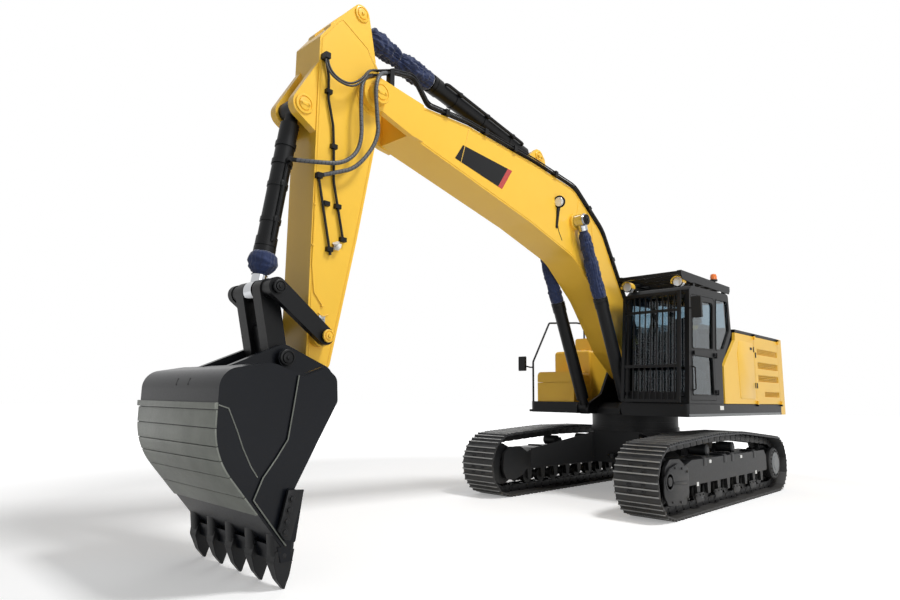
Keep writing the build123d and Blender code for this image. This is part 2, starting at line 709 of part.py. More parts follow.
cab_side = [(1262, 1455), (1090, 3080, 40), (1000, 3150, 60), (-400, 3190, 60), (-455, 2560, 60), (-5, 2060, 60), (10, 1455)]
cab_inside = [(1200, 1515), (1045, 3030, 40), (960, 3090, 60), (-345, 3130, 60), (-395, 2585, 60), (52, 2085, 60), (66, 1515)]
door_outline = [(1200, 1500, 20), (1055, 3020, 60), (185, 3055, 60), (290, 2230, 20), (290, 1500, 20)]
door_edge = [(1194, 1506, 20), (1050, 3014, 60), (192, 3048, 60), (296, 2230, 20), (296, 1506, 20)]
upper_pane = [(1075, 2240, 30), (1005, 2945, 60), (260, 2975, 60), (350, 2260, 30)]
lower_pane = [(1125, 1580, 30), (1090, 2140, 30), (370, 2140, 30), (370, 1580, 30)]
rear_pane = [(120, 3050, 50), (-330, 3070, 60), (-345, 2600, 60), (-60, 2290, 40), (215, 2260, 20)]
front_pane_y = (cab_inner_y + 70, cab_outer_y - 70)
cab_pivot = (262, cab_outer_y + 25)
cab_hinges = (1600, 2150)
with BuildPart() as cab:
    slab(cab_side, cab_inner_y, cab_outer_y)
    slab(cab_inside, cab_inner_y + cab_wall, cab_outer_y - cab_wall, mode=Mode.SUBTRACT)
    slab(door_outline, cab_outer_y - cab_wall - 1, cab_outer_y + 1, mode=Mode.SUBTRACT)
    slab(rear_pane, cab_outer_y - cab_wall - 1, cab_outer_y + 1, mode=Mode.SUBTRACT)
    for pane in (upper_pane, rear_pane):
        slab(pane, cab_inner_y - 1, cab_inner_y + cab_wall + 1, mode=Mode.SUBTRACT)
    slab([(1400, 1620), (1400, 3030), (900, 3030), (900, 1620)], *front_pane_y, mode=Mode.SUBTRACT)
    slab([(-600, 2660), (-600, 3060), (-200, 3060), (-200, 2660)], *front_pane_y, mode=Mode.SUBTRACT)
    for x in (120, 1130):
        for y in (cab_inner_y + 115, cab_outer_y - 115):
            upright(x, y, 60, deck_high, 1460)
    for z in cab_hinges:
        block((cab_pivot[0] - 12, cab_pivot[0] + 12), (cab_outer_y, cab_pivot[1] + 12), (z - 20, z))
        upright(*cab_pivot, hinge_pin, z - 1, z + 55)
save(cab, "cab_shell")

glass = 8


def front_x(z):
    """The cab front's outer face at a height."""
    (x1, z1), (x2, z2) = cab_side[0][:2], cab_side[1][:2]
    return x1 + (z - z1) * (x2 - x1) / (z2 - z1)


with BuildPart() as cab_glass:
    slab([(front_x(1620) - 20, 1620), (front_x(3030) - 20, 3030), (front_x(3030) - 20 - glass, 3030), (front_x(1620) - 20 - glass, 1620)],
         *front_pane_y)
    slab([(-418, 2660), (-388, 3060), (-388 + glass, 3060), (-418 + glass, 2660)], *front_pane_y)
    slab(rear_pane, cab_outer_y - 24, cab_outer_y - 16)
    for pane in (upper_pane, rear_pane):
        slab(pane, cab_inner_y + 16, cab_inner_y + 24)
save(cab_glass, "cab_glass")

with BuildPart() as cab_door:
    slab(door_edge, cab_outer_y - 45, cab_outer_y)
    for pane in (upper_pane, lower_pane):
        slab(pane, cab_outer_y - 46, cab_outer_y + 1, mode=Mode.SUBTRACT)
    block((1040, 1070), (cab_outer_y, cab_outer_y + 30), (2140, 2200))
    for z in cab_hinges:
        upright(*cab_pivot, knuckle - 2, z + 0.3, z + 60)
        block((cab_pivot[0], cab_pivot[0] + 58), (cab_pivot[1] - 16, cab_pivot[1] - 4), (z + 5, z + 55))
        block((cab_pivot[0] + 38, cab_pivot[0] + 58), (cab_outer_y - 1, cab_pivot[1] - 4), (z + 5, z + 55))
        upright(*cab_pivot, hinge_pin + pin_fit, z - 1, z + 61, mode=Mode.SUBTRACT)
save(cab_door, "cab_door")

with BuildPart() as door_glass:
    for pane in (upper_pane, lower_pane):
        slab(pane, cab_outer_y - 27, cab_outer_y - 27 + glass)
save(door_glass, "door_glass")

roof_x = (-500, 1340)
with BuildPart() as roof_guard:
    for y in (cab_inner_y, cab_outer_y - 60):
        block(roof_x, (y, y + 60), (guard_low, guard_high))
    for n in range(7):
        x = roof_x[0] + n * (roof_x[1] - roof_x[0] - 60) / 6
        block((x, x + 60), (cab_inner_y + 60, cab_outer_y - 60), (guard_low + 8, guard_high - 8))
    for y in (cab_inner_y + 10, cab_outer_y - 60):
        block((-340, -280), (y, y + 50), (3188.5, guard_low))
        block((860, 920), (y, y + 50), (3154.5, guard_low))
    for y in (cab_inner_y, cab_outer_y - 12):
        slab([(roof_x[0], guard_low + 1), (roof_x[1], guard_low + 1), (roof_x[1] - 30, guard_low - 60, 20), (1010, guard_low - 75, 20),
              (900, guard_low - 60, 20), (roof_x[0] + 40, guard_low - 60, 20)], y, y + 12)
save(roof_guard, "roof_guard")

guard_offset = 95
grille_low, grille_high = 1470, 3060
grille_y = (cab_inner_y + 15, cab_outer_y - 75)
grille_bars = 9
with BuildPart() as front_guard:
    def guard_at(z, out=0):
        """Point on the guard's plane at a height."""
        return (front_x(z) + guard_offset + out, z)

    for y in (grille_y[0], grille_y[1] - 45):
        slab([guard_at(grille_low), guard_at(grille_high), guard_at(grille_high, 45), guard_at(grille_low, 45)], y, y + 45)
    for z in (grille_low, 1960, 2760, grille_high - 45):
        slab([guard_at(z, 6), guard_at(z + 40, 6), guard_at(z + 40, 39), guard_at(z, 39)], grille_y[0] + 20, grille_y[1] - 20)
    for n in range(1, grille_bars + 1):
        y = grille_y[0] + n * (grille_y[1] - grille_y[0]) / (grille_bars + 1)
        slab([guard_at(grille_low + 10, 12), guard_at(grille_high - 10, 12), guard_at(grille_high - 10, 30), guard_at(grille_low + 10, 30)],
             y - 8, y + 8)
    for z in (1560, 2960):
        for y in (grille_y[0], grille_y[1] - 45):
            slab([(front_x(z) + 0.3, z), guard_at(z, 1), guard_at(z + 50, 1), (front_x(z + 50) + 0.3, z + 50)], y, y + 45)
save(front_guard, "front_guard")

with BuildPart() as seat:
    block((260, 690), (760, 1160), (1515, 1820))
    block((250, 770), (700, 1220), (1820, 1950))
    slab([(190, 1900), (110, 2560), (210, 2580), (330, 1950)], 720, 1200)
    slab([(115, 2575), (85, 2780), (165, 2790), (195, 2575)], 820, 1100)
save(seat, "seat")

with BuildPart() as controls:
    for y_low, y_high in ((590, 690), (1230, 1330)):
        block((150, 760), (y_low, y_high), (1960, 2070))
        block((250, 400), (y_low, y_high), (1515, 1960))
        shaft((700, 2060), (720, 2280), (y_low + y_high) / 2, 18)
        with Locations((720, (y_low + y_high) / 2, 2290)):
            Sphere(38)
    for y in (880, 1040):
        shaft((970, 1540), (910, 2150), y, 12)
        block((900, 1080), (y - 50, y + 50), (1515, 1560))
    block((980, 1010), (580, 760), (2080, 2330))
    shaft((995, 2085), (1035, 1520), 670, 14)
    block((1000, 1070), (640, 700), (1515, 1530))
save(controls, "cab_controls")

lamp_radius = 68
with BuildPart() as cab_lamps:
    for y in (cab_inner_y + 86, cab_outer_y - 106):
        with BuildSketch(Plane((1130, y, 3190), x_dir=(0, 1, 0), z_dir=(1, 0, 0))) as disc:
            Circle(lamp_radius)
        extrude(disc.sketch, amount=90)
        block((1110, 1150), (y - 20, y + 20), (3190, guard_low))
        block((1110, 1150), sorted((y, y + (55 if y > 1000 else -35))), (guard_low - 14, guard_low))
save(cab_lamps, "cab_lamps")

with BuildPart() as beacon:
    with Locations((-250, 1330, guard_high)):
        Cylinder(55, 40, align=(Align.CENTER, Align.CENTER, Align.MIN))
    with Locations((-250, 1330, guard_high + 40)):
        Cylinder(48, 160, align=(Align.CENTER, Align.CENTER, Align.MIN))
    block((-320, -180), (1270, 1390), (guard_high - 8, guard_high))
save(beacon, "beacon")

# ---- Rails and mirrors -------------------------------------------------------------------

rail_radius = 17
rail_y = -half_width + 45
with BuildPart() as handrails:
    tube([(right_front_x - 60, rail_y, deck_high), (right_front_x - 60, rail_y, 2135), (366, rail_y, 2868),
          (-560, rail_y, 2960), (-820, rail_y, 2960), (-820, rail_y, body_high)], rail_radius, 60)
save(handrails, "handrails")

mirror_out = 1690
mirror_width = 140
with BuildPart() as mirrors:
    slab([(925, 1975, 20), (925, 2230, 20), (975, 2230, 20), (975, 1975, 20)], -mirror_out, -mirror_out + mirror_width)
    tube([(right_front_x - 60, rail_y - rail_radius - 0.3, 2040), (right_front_x - 60, rail_y - 70, 2040),
          (950, -mirror_out + mirror_width - 1, 2060)], 12, 18)
    slab([(1160, 2650, 20), (1160, 2960, 20), (1210, 2960, 20), (1210, 2650, 20)], mirror_out - mirror_width, mirror_out)
    tube([(1098, cab_outer_y + 0.3, 2810), (1098, cab_outer_y + 45, 2810), (1185, mirror_out - mirror_width + 1, 2810)], 12, 18)
save(mirrors, "mirrors")

# ---- Boom --------------------------------------------------------------------------------

# Side outline, (x, z, corner radius): underside from the tip back to the foot, then the top
boom_side = [(5480, 4365, 0), (4760, 4200, 300), (3250, 3850, 900), (2180, 3540, 700), (1510, 3020, 700),
             (840, 2250, 300), (250, 1840, 60), (-20, 1920, 60), (60, 2090, 40), (900, 3330, 500), (1400, 4090, 700),
             (2150, 4590, 500), (3100, 4700, 0), (4500, 4800, 400), (5480, 4765, 0)]
lug_half = (120, 168)
with BuildPart() as boom:
    slab(boom_side, -boom_half, boom_half)
    bar(foot_pin, 150, -boom_half, boom_half)
    bar(foot_pin, big_pin, -bracket_out - 14, bracket_out + 14)
    for low, high in both_sides(fork_inner, fork_outer):
        slab([(5300, 4330, 0), (5300, 4768, 0), (5560, 4800, 100), (5960, 4850, 60), (6150, 4740, 60), (6120, 4540, 60),
              (5900, 4480, 80), (5470, 4350, 0)], low, high)
        bar(boom_tip_pin, 170, low, high)
    for low, high in both_sides(fork_outer, fork_outer + 58):
        bar(boom_tip_pin, 120, low, high)
    for low, high in both_sides(boom_half, boom_half + 44):
        bar(boom_cylinder_pin, 125, low, high)
    for low, high in both_sides(*lug_half):
        slab([(2700, 4600), (2760, 4900, 60), (2860, 5000, 60), (2960, 5000, 60), (3200, 4800, 80), (3420, 4690)], low, high)
    bar(arm_cylinder_base_pin, small_pin, -lug_half[0] - 1, lug_half[0] + 1)
    bar(boom_tip_pin, big_pin, -fork_inner - 1, fork_inner + 1)
save(boom, "boom")

# Hoses between the boom's pipes and the arm: name, radius, length of the fitting at each end, and
# the route from the boom's end to the arm's
hose_rows = (
    ("bucket_hose_front", 21, 30, 60,
     [(6010, 243, 4868), (6190, 300, 4765), (6225, 335, 4444), (6190, 345, 3990), (6390, 345, 3745), (6680, 290, 3690),
      (6883, 140, 3701)]),
    ("bucket_hose_rear", 21, 30, 50,
     [(5840, 278, 4950), (6010, 365, 4862), (6090, 398, 4650), (6060, 400, 4380), (6010, 385, 4110), (6245, 350, 3740),
      (6480, 290, 3640), (6622, 241, 3585)]),
    ("arm_hose_upper", 11, 20, 20,
     [(5950, 243, 4940), (6060, 278, 4898), (6142, 325, 4830), (6225, 355, 4710), (6360, 348, 4590), (6500, 325, 4600),
      (6600, 298, 4690), (6608, 285, 4792)]),
    ("arm_hose_lower", 11, 20, 20,
     [(5985, 278, 4925), (6080, 318, 4875), (6158, 362, 4805), (6232, 395, 4680), (6355, 380, 4548), (6520, 348, 4560),
      (6632, 302, 4670), (6634, 285, 4792)]),
)
hoses = {name: (radius, first, last, route) for name, radius, first, last, route in hose_rows}


def fitting(name, end):
    """Where a hose meets its fitting, at the boom's end (0) or the arm's (-1)."""
    _, first, last, route = hoses[name]
    start, following, reach = (route[0], route[1], first) if end == 0 else (route[-1], route[-2], last)
    return tuple(Vector(*start) + (Vector(*following) - Vector(*start)).normalized() * reach)


def fit_end(name, end):
    """The fitting itself."""
    radius, _, _, route = hoses[name]
    stub(route[end], fitting(name, end), radius)


# Steel pipes along the boom's top: a heavy pair with a light pair above it, left side
boom_top = [(420, 2621, 0), *boom_side[9:14], (5200, 4775, 0)]
pipe_bends = (400, 600, 500, 400, 400, 120, 140, 90)  # corner radii from the foot to the tip
# (y, height above the boom's top, radius, end of the straight tip run)
boom_pipe_rows = ((243, 30, 14, (6010, 4868)), (278, 30, 14, (5840, 4950)),
                  (243, 64, 9, (5950, 4940)), (278, 64, 9, (5985, 4925)))
pipe_clamps = ((1, 400), (2, 450), (3, 500), (4, 500), (4, 1100), (5, 400))
clamp_rise = 78
tip_bracket = ((5560, 4800), (5960, 4850))  # top edge of the fork under the pipes' bracket
with BuildPart() as boom_pipes:
    for y, height, radius, end in boom_pipe_rows:
        run = [(x, y, z) for x, z, _ in inset(boom_top, height)]
        rise = height - 30
        run += [(5432, y, 5063 + rise), (5740, y, 4998 + rise), (end[0], y, end[1])]
        tube(run, radius, pipe_bends)
    for n, place in pipe_clamps:
        first, second = boom_top[n][:2], boom_top[n + 1][:2]
        low, high = along(first, second, place - 30), along(first, second, place + 30)
        share = clamp_rise / hypot(second[0] - first[0], second[1] - first[1])
        up = ((first[1] - second[1]) * share, (second[0] - first[0]) * share)
        slab([low, high, (high[0] + up[0], high[1] + up[1]), (low[0] + up[0], low[1] + up[1])], 205, 300)
    low, high = along(*tip_bracket, 190), along(*tip_bracket, 250)
    slab([low, high, (high[0], 5010), (low[0], 5040)], fork_inner, fork_outer)
    for name in hoses:
        fit_end(name, 0)
save(boom_pipes, "boom_pipes")

# ---- Arm ---------------------------------------------------------------------------------

# Side outline, (x, z, corner radius), clockwise from the tip's front
arm_side = [(6650, 1720, 60), (6665, 5040, 30), (6420, 5380, 60), (6050, 5180, 40), (5860, 4900, 120), (5840, 4560, 160),
            (6110, 3080, 0), (6390, 1740, 60)]
ear_half = (82, 200)
cylinder_ear = (112, 204)
with BuildPart() as arm:
    slab(arm_side, -arm_half, arm_half)
    bar(boom_tip_pin, 205, -arm_half - 7, arm_half + 7)
    bar(bucket_pin, 140, -arm_half - 7, arm_half + 7)
    bar(rocker_pin, 95, side_gap - rocker_inner, rocker_inner - side_gap)
    bar(rocker_pin, small_pin, -rocker_outer - 28, rocker_outer + 28)
    for low, high in both_sides(*ear_half):
        hull_plate([(*arm_cylinder_pin, 105), (6000, 5060, 60), (6480, 5220, 60)], low, high)
    for low, high in both_sides(*cylinder_ear):
        hull_plate([(*bucket_cylinder_base_pin, 125), (6600, 4800, 40), (6600, 4050, 40)], low, high)
    block((5900, 6560), (-ear_half[0], ear_half[0]), (5190, 5600), mode=Mode.SUBTRACT)
    bar(bucket_cylinder_base_pin, small_pin, -cylinder_ear[0] - 1, cylinder_ear[0] + 1)
    bar(boom_tip_pin, big_pin + pin_fit, -arm_half - 8, arm_half + 8, mode=Mode.SUBTRACT)
    bar(bucket_pin, big_pin + pin_fit, -arm_half - 8, arm_half + 8, mode=Mode.SUBTRACT)
save(arm, "arm")

pipe_y = arm_half + 24
# Points (x, z) of the two pipes on the arm's left side, top first
long_pipe = [(6600, 4795), (6560, 4640), (6550, 4400), (6480, 4140), (6460, 3900), (6445, 3571), (6300, 2989)]
short_pipe = [(6622, 3580), (6590, 3440), (6447, 2831)]
hose_block = (6622, 3585)
with BuildPart() as arm_pipes:
    tube([(x, pipe_y, z) for x, z in long_pipe], 13, (200, 200, 200, 400, 200))
    tube([(x, pipe_y, z) for x, z in short_pipe], 13, 120)
    block((6588, 6648), (arm_half, 305), (4790, 4850))
    block((hose_block[0] - 28, hose_block[0] + 28), (arm_half, arm_half + 55), (hose_block[1] - 28, hose_block[1] + 28))
    for name in ("bucket_hose_rear", "arm_hose_upper", "arm_hose_lower"):
        fit_end(name, -1)
    for x, z, half in ((6550, 4480, 34), (6461, 3930, 34), (6520, 3330, 34), (6385, 3330, 34), (6460, 2885, 34), (6305, 3010, 34)):
        block((x - half, x + half), (arm_half, pipe_y + 19), (z - 22, z + 22))
save(arm_pipes, "arm_pipes")

# ---- Cylinders ---------------------------------------------------------------------------

eye_fit = 0.3


def barrel(base, eye, y, radius, length, half_eye, collars):
    """Cylinder barrel hinged at base, with its head at a length and a row of clamp collars."""
    bar(base, small_pin + 52, y - half_eye, y + half_eye)
    shaft(base, along(base, eye, 170), y, radius * 0.72)
    shaft(along(base, eye, 165), along(base, eye, length), y, radius)
    shaft(along(base, eye, length - 150), along(base, eye, length - 60), y, radius + 8)
    shaft(along(base, eye, length - 50), along(base, eye, length), y, radius + 10)
    for place in collars:
        shaft(along(base, eye, place), along(base, eye, place + 50), y, radius + 9)
    bar(base, small_pin + pin_fit, y - half_eye - 1, y + half_eye + 1, mode=Mode.SUBTRACT)


def rod(base, eye, y, radius, start, half_eye):
    """Piston rod, from a distance inside the barrel to its eye."""
    reach = hypot(eye[0] - base[0], eye[1] - base[1])
    shaft(along(base, eye, start), along(base, eye, reach - 60), y, radius)
    shaft(along(base, eye, reach - 150), along(base, eye, reach - 60), y, radius * 1.35)
    bar(eye, small_pin + 50, y - half_eye, y + half_eye)


def bore(base, eye, y, radius, head):
    """Space inside a barrel for its rod."""
    shaft(along(base, eye, 200), along(base, eye, head + 1), y, radius + eye_fit, mode=Mode.SUBTRACT)


boom_barrel, boom_rod, boom_head, boom_piston = 98, 52, 1795, 1230
with BuildPart() as boom_barrels:
    for sign in (-1, 1):
        y = sign * boom_cylinder_y
        barrel(cylinder_base_pin, boom_cylinder_pin, y, boom_barrel, boom_head, 70, ())
        bore(cylinder_base_pin, boom_cylinder_pin, y, boom_rod, boom_head)
save(boom_barrels, "boom_cylinder_barrels")

with BuildPart() as boom_rods:
    for sign in (-1, 1):
        y = sign * boom_cylinder_y
        rod(cylinder_base_pin, boom_cylinder_pin, y, boom_rod, boom_piston, 68)
        bar(boom_cylinder_pin, 72, *sorted((sign * (boom_cylinder_y + 67), sign * (boom_cylinder_y + 92))))
save(boom_rods, "boom_cylinder_rods")

arm_barrel, arm_rod, arm_head, arm_piston = 105, 56, 2070, 1150
with BuildPart() as arm_barrels:
    barrel(arm_cylinder_base_pin, arm_cylinder_pin, 0, arm_barrel, arm_head, lug_half[0] - side_gap, ())
    bore(arm_cylinder_base_pin, arm_cylinder_pin, 0, arm_rod, arm_head)
save(arm_barrels, "arm_cylinder_barrel")

with BuildPart() as arm_rods:
    rod(arm_cylinder_base_pin, arm_cylinder_pin, 0, arm_rod, arm_piston, ear_half[0] - side_gap)
save(arm_rods, "arm_cylinder_rod")

bucket_barrel, bucket_rod, bucket_head, bucket_piston = 92, 50, 1500, 380
with BuildPart() as bucket_barrels:
    barrel(bucket_cylinder_base_pin, link_pin, 0, bucket_barrel, bucket_head, cylinder_ear[0] - side_gap, (370, 560))
    port = along(bucket_cylinder_base_pin, link_pin, 575)
    bar(port, 26, 60, 165)
    fit_end("bucket_hose_front", -1)
    bore(bucket_cylinder_base_pin, link_pin, 0, bucket_rod, bucket_head)
save(bucket_barrels, "bucket_cylinder_barrel")

with BuildPart() as bucket_rods:
    rod(bucket_cylinder_base_pin, link_pin, 0, bucket_rod, bucket_piston, 68)
save(bucket_rods, "bucket_cylinder_rod")

# ---- Bucket linkage ----------------------------------------------------------------------

with BuildPart() as rocker:
    for low, high in both_sides(rocker_inner, rocker_outer):
        hull_plate([(*rocker_pin, 82), (*link_pin, 88)], low, high)
        for at in (rocker_pin, link_pin):
            bar(at, small_pin + pin_fit, low - 1, high + 1, mode=Mode.SUBTRACT)
save(rocker, "rocker_arms")

link_inner, link_outer = 86, 222
with BuildPart() as h_link:
    for low, high in both_sides(link_inner, link_outer):
        hull_plate([(*link_pin, 92), (*bucket_link_pin, 88)], low, high)
    for low, high in both_sides(link_outer - 1, rocker_inner - 2):
        bar(link_pin, 80, low, high)
    for low, high in both_sides(rocker_inner - 3, rocker_outer + 26):
        bar(link_pin, small_pin, low, high)
    bar(bucket_link_pin, 88, -link_inner - 1, link_inner + 1)
    hull_plate([(*along(link_pin, bucket_link_pin, 330), 40), (*along(link_pin, bucket_link_pin, 560), 40)], -link_inner - 1, link_inner + 1)
save(h_link, "bucket_link")

# ---- Cloth covers and hoses --------------------------------------------------------------

cloth_gap = 3  # between a rod and its cover
# Rows of (distance from the base pin, outer radius), from the barrel's head to the rod's collar
boom_cover = [(boom_head + 0.3, 96), (1900, 108), (2300, 100), (2600, 92), (2834.5, 74)]
arm_cover = [(arm_head + 0.3, 118), (2250, 128), (2550, 112), (2850, 118), (3040, 110), (3085, 76), (3159.5, 76)]
bucket_cover = [(bucket_head + 0.3, 128), (1560, 135), (1640, 120), (1719, 80)]
with BuildPart() as boom_covers:
    for sign in (-1, 1):
        sleeve(cylinder_base_pin, boom_cylinder_pin, sign * boom_cylinder_y, boom_rod + cloth_gap, boom_cover)
save(boom_covers, "boom_rod_covers")

with BuildPart() as arm_rod_cover:
    sleeve(arm_cylinder_base_pin, arm_cylinder_pin, 0, arm_rod + cloth_gap, arm_cover)
save(arm_rod_cover, "arm_rod_cover")

with BuildPart() as bucket_rod_cover:
    sleeve(bucket_cylinder_base_pin, link_pin, 0, bucket_rod + cloth_gap, bucket_cover)
save(bucket_rod_cover, "bucket_rod_cover")

for name, radius, _, _, route in hose_rows:
    points = [fitting(name, 0), *route[1:-1], fitting(name, -1)]
    corners = []
    for n in range(1, len(points) - 1):
        runs = [Vector(*points[k + 1]) - Vector(*points[k]) for k in (n - 1, n)]
        half_turn = runs[0].get_angle(runs[1]) / 2 * pi / 180
        corners.append(0.45 * min(run.length for run in runs) * cos(half_turn) / sin(half_turn))
    print(name, "bend radii", [round(corner) for corner in corners])
    with BuildPart() as hose:
        tube(points, radius, corners)
    save(hose, name)

# ---- Bucket ------------------------------------------------------------------------------

bucket_plate = 32
lip_z = 212
side_plate = 40
# Outside of the wrapper, (x, z, corner radius), from the lip round the back to the top's front edge
wrap = [(7080, 270, 0), (bucket_reach_x, 1047, 600), (bucket_reach_x, 1665, 160), (7300, 1745, 300), (6720, 1500, 0)]

front_edge = [(6655, 1440, 60), (6670, 1640, 90), (6800, 1735, 60), (6990, 1665, 60), (7110, 1680, 60)]
side_rows = wrap[:4] + [front_edge[n] for n in (4, 3, 2, 1, 0)] + [(6840, 1120, 200), (7040, 760, 0), (7040, 300, 0)]
with BuildPart() as bucket:
    slab(wrap + list(reversed(inset(wrap, bucket_plate))), -bucket_half + 1, bucket_half - 1)
    for low, high in both_sides(bucket_half - side_plate, bucket_half):
        slab(side_rows, low, high)
    for low, high in both_sides(bucket_half - 1, bucket_half + 13):
        slab([(6665, 1440, 60), (6680, 1630, 90), (6800, 1722, 60), (6990, 1650, 60), (7060, 1640, 0), (7130, 1140, 100),
              (7330, 860, 0), (7400, 700, 0), (7090, 330, 0), (7045, 760, 0), (6845, 1120, 200)], low, high)
    for low, high in both_sides(bucket_half + 12, bucket_half + 34):
        slab([(6975, 740, 20), (7030, 350, 20), (7130, 380, 20), (7120, 770, 20)], low, high)
    for low, high in both_sides(fork_inner, fork_outer):
        hull_plate([(*bucket_pin, 140), (*bucket_link_pin, 118), (6745, 1500, 10), (7290, 1728, 10), (7440, 1712, 6)], low, high)
    for low, high in both_sides(fork_outer, fork_outer + 56):
        bar(bucket_link_pin, 84, low, high)
        bar(bucket_pin, 78, low, high)
    bar(bucket_pin, big_pin, -fork_inner - 1, fork_inner + 1)
    slab([(7022, lip_z), (7128, lip_z), (7165, 330), (7060, 330)], -bucket_half, bucket_half)
save(bucket, "bucket")

tooth_pitch = 337
with BuildPart() as teeth:
    for n in range(-2, 3):
        with BuildPart(mode=Mode.PRIVATE) as tooth:
            # (z, middle x, length along X, width) of each section, tip first
            for z, x, depth, width in ((0, tooth_tip_x, 16, 80), (120, 7062, 62, 110), (lip_z, 7075, 104, 120)):
                with BuildSketch(Plane.XY.offset(z)):
                    with Locations((x, n * tooth_pitch)):
                        Rectangle(depth, width)
            loft(ruled=True)
        add(tooth.part)
save(teeth, "bucket_teeth")
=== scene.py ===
from math import atan2, cos, hypot, pi, radians, sin, tan

import bpy
from mathutils import Matrix, Vector, noise


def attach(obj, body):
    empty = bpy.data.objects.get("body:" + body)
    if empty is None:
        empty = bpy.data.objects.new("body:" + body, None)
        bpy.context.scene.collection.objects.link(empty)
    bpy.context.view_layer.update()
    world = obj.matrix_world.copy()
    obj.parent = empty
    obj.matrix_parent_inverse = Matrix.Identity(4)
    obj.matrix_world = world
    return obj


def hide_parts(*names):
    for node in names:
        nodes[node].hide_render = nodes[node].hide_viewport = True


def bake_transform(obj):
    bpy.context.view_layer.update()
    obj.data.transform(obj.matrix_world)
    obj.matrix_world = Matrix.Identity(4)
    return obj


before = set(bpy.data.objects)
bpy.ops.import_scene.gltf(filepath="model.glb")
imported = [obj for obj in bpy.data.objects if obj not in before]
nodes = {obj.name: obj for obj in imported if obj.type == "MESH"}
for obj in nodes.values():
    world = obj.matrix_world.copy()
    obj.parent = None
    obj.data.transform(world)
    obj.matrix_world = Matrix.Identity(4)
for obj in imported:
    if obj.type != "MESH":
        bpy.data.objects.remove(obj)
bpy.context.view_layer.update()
frameShift = -2.1375  # the swing axis lies here along X, in metres

print("camera and light")
camera = {"place": (7.7652, 5.165, 1.4857), "turn": (99.0336, -0.8417, 134.0741), "lens": 25.044, "film": 36,
          "shift": (0.0048, -0.002), "farthest": 400}
bpy.ops.object.camera_add(location=camera["place"], rotation=[radians(a) for a in camera["turn"]])
viewer = bpy.context.object
viewer.data.lens, viewer.data.sensor_width = camera["lens"], camera["film"]
viewer.data.shift_x, viewer.data.shift_y = camera["shift"]
viewer.data.clip_end = camera["farthest"]
bpy.context.scene.camera = viewer
bpy.context.scene.view_settings.view_transform = "Standard"


# a web colour turned into the linear values that the shaders take
def linear(hexColour):
    channels = [int(hexColour[k:k + 2], 16) / 255 for k in (1, 3, 5)]
    return (*[c / 12.92 if c <= 0.04045 else ((c + 0.055) / 1.055) ** 2.4 for c in channels], 1)


def addNode(tree, kind, inputs=(), links=(), **settings):
    node = tree.nodes.new(kind)
    for name, value in settings.items():
        setattr(node, name, value)
    for socket, value in dict(inputs).items():
        node.inputs[socket].default_value = value
    for source, output, socket in links:
        tree.links.new(source.outputs[output], node.inputs[socket])
    return node


# one soft box high over the left side, one wide one beyond it, one behind on the right
softBoxes = [{"place": (0.5, 8.6, 16.5), "aim": (0.5, 0, 1.0), "size": 3.0, "power": 1950},
             {"place": (4.5, 16.0, 6.0), "aim": (0.5, 0, 2.5), "size": 9, "power": 760},
             {"place": (-9.0, -11.0, 8.0), "aim": (-1.0, 0, 2.0), "size": 8, "power": 420}]
for box in softBoxes:
    bpy.ops.object.light_add(type="AREA", location=box["place"])
    lamp = bpy.context.object
    lamp.rotation_euler = (Vector(box["aim"]) - Vector(box["place"])).to_track_quat("-Z", "Y").to_euler()
    lamp.data.size, lamp.data.energy = box["size"], box["power"]


# 1 for what the camera sees directly or through metal and glass, else 0
def seenShare(tree):
    rays = addNode(tree, "ShaderNodeLightPath")
    sharp = addNode(tree, "ShaderNodeMath", operation="MAXIMUM",
                    links=[(rays, "Is Glossy Ray", 0), (rays, "Is Transmission Ray", 1)])
    return addNode(tree, "ShaderNodeMath", links=[(rays, "Is Camera Ray", 0), (sharp, 0, 1)],
                   operation="MAXIMUM")


skyStrength = {"To Min": 0.25, "To Max": 1.0}  # dim on the machine, white behind it
sky = bpy.data.worlds.new("studio")
bpy.context.scene.world = sky
sky.use_nodes = True
tree = sky.node_tree
tree.nodes.clear()
skyLevel = addNode(tree, "ShaderNodeMapRange", skyStrength, [(seenShare(tree), 0, "Value")])
skyGlow = addNode(tree, "ShaderNodeBackground", {"Color": (1, 1, 1, 1)}, [(skyLevel, 0, "Strength")])
addNode(tree, "ShaderNodeOutputWorld", links=[(skyGlow, 0, "Surface")])

# the floor glows more with distance, in metres, so that it runs into white
floorPaper = {"size": 160, "colour": (0.86, 0.86, 0.86, 1),
              "glow": {"From Min": 7.0, "From Max": 13.0, "To Min": 0.30, "To Max": 1.0}}
bpy.ops.mesh.primitive_plane_add(size=floorPaper["size"], location=(0, 0, 0))
floor = bpy.context.object
floor.name = "floor"
paper = bpy.data.materials.new("floor paper")
paper.use_nodes = True
tree = paper.node_tree
tree.nodes.clear()
spot = addNode(tree, "ShaderNodeTexCoord")
away = addNode(tree, "ShaderNodeVectorMath", links=[(spot, "Object", 0)], operation="LENGTH")
glow = addNode(tree, "ShaderNodeMapRange", floorPaper["glow"], [(away, "Value", "Value")])
seenGlow = addNode(tree, "ShaderNodeMath", links=[(glow, 0, 0), (seenShare(tree), 0, 1)],
                   operation="MULTIPLY")
matt = addNode(tree, "ShaderNodeBsdfDiffuse", {"Color": floorPaper["colour"]})
lift = addNode(tree, "ShaderNodeEmission", {"Color": (1, 1, 1, 1)}, [(seenGlow, 0, "Strength")])
both = addNode(tree, "ShaderNodeAddShader", links=[(matt, 0, 0), (lift, 0, 1)])
addNode(tree, "ShaderNodeOutputMaterial", links=[(both, 0, "Surface")])
floor.data.materials.append(paper)

print("materials")
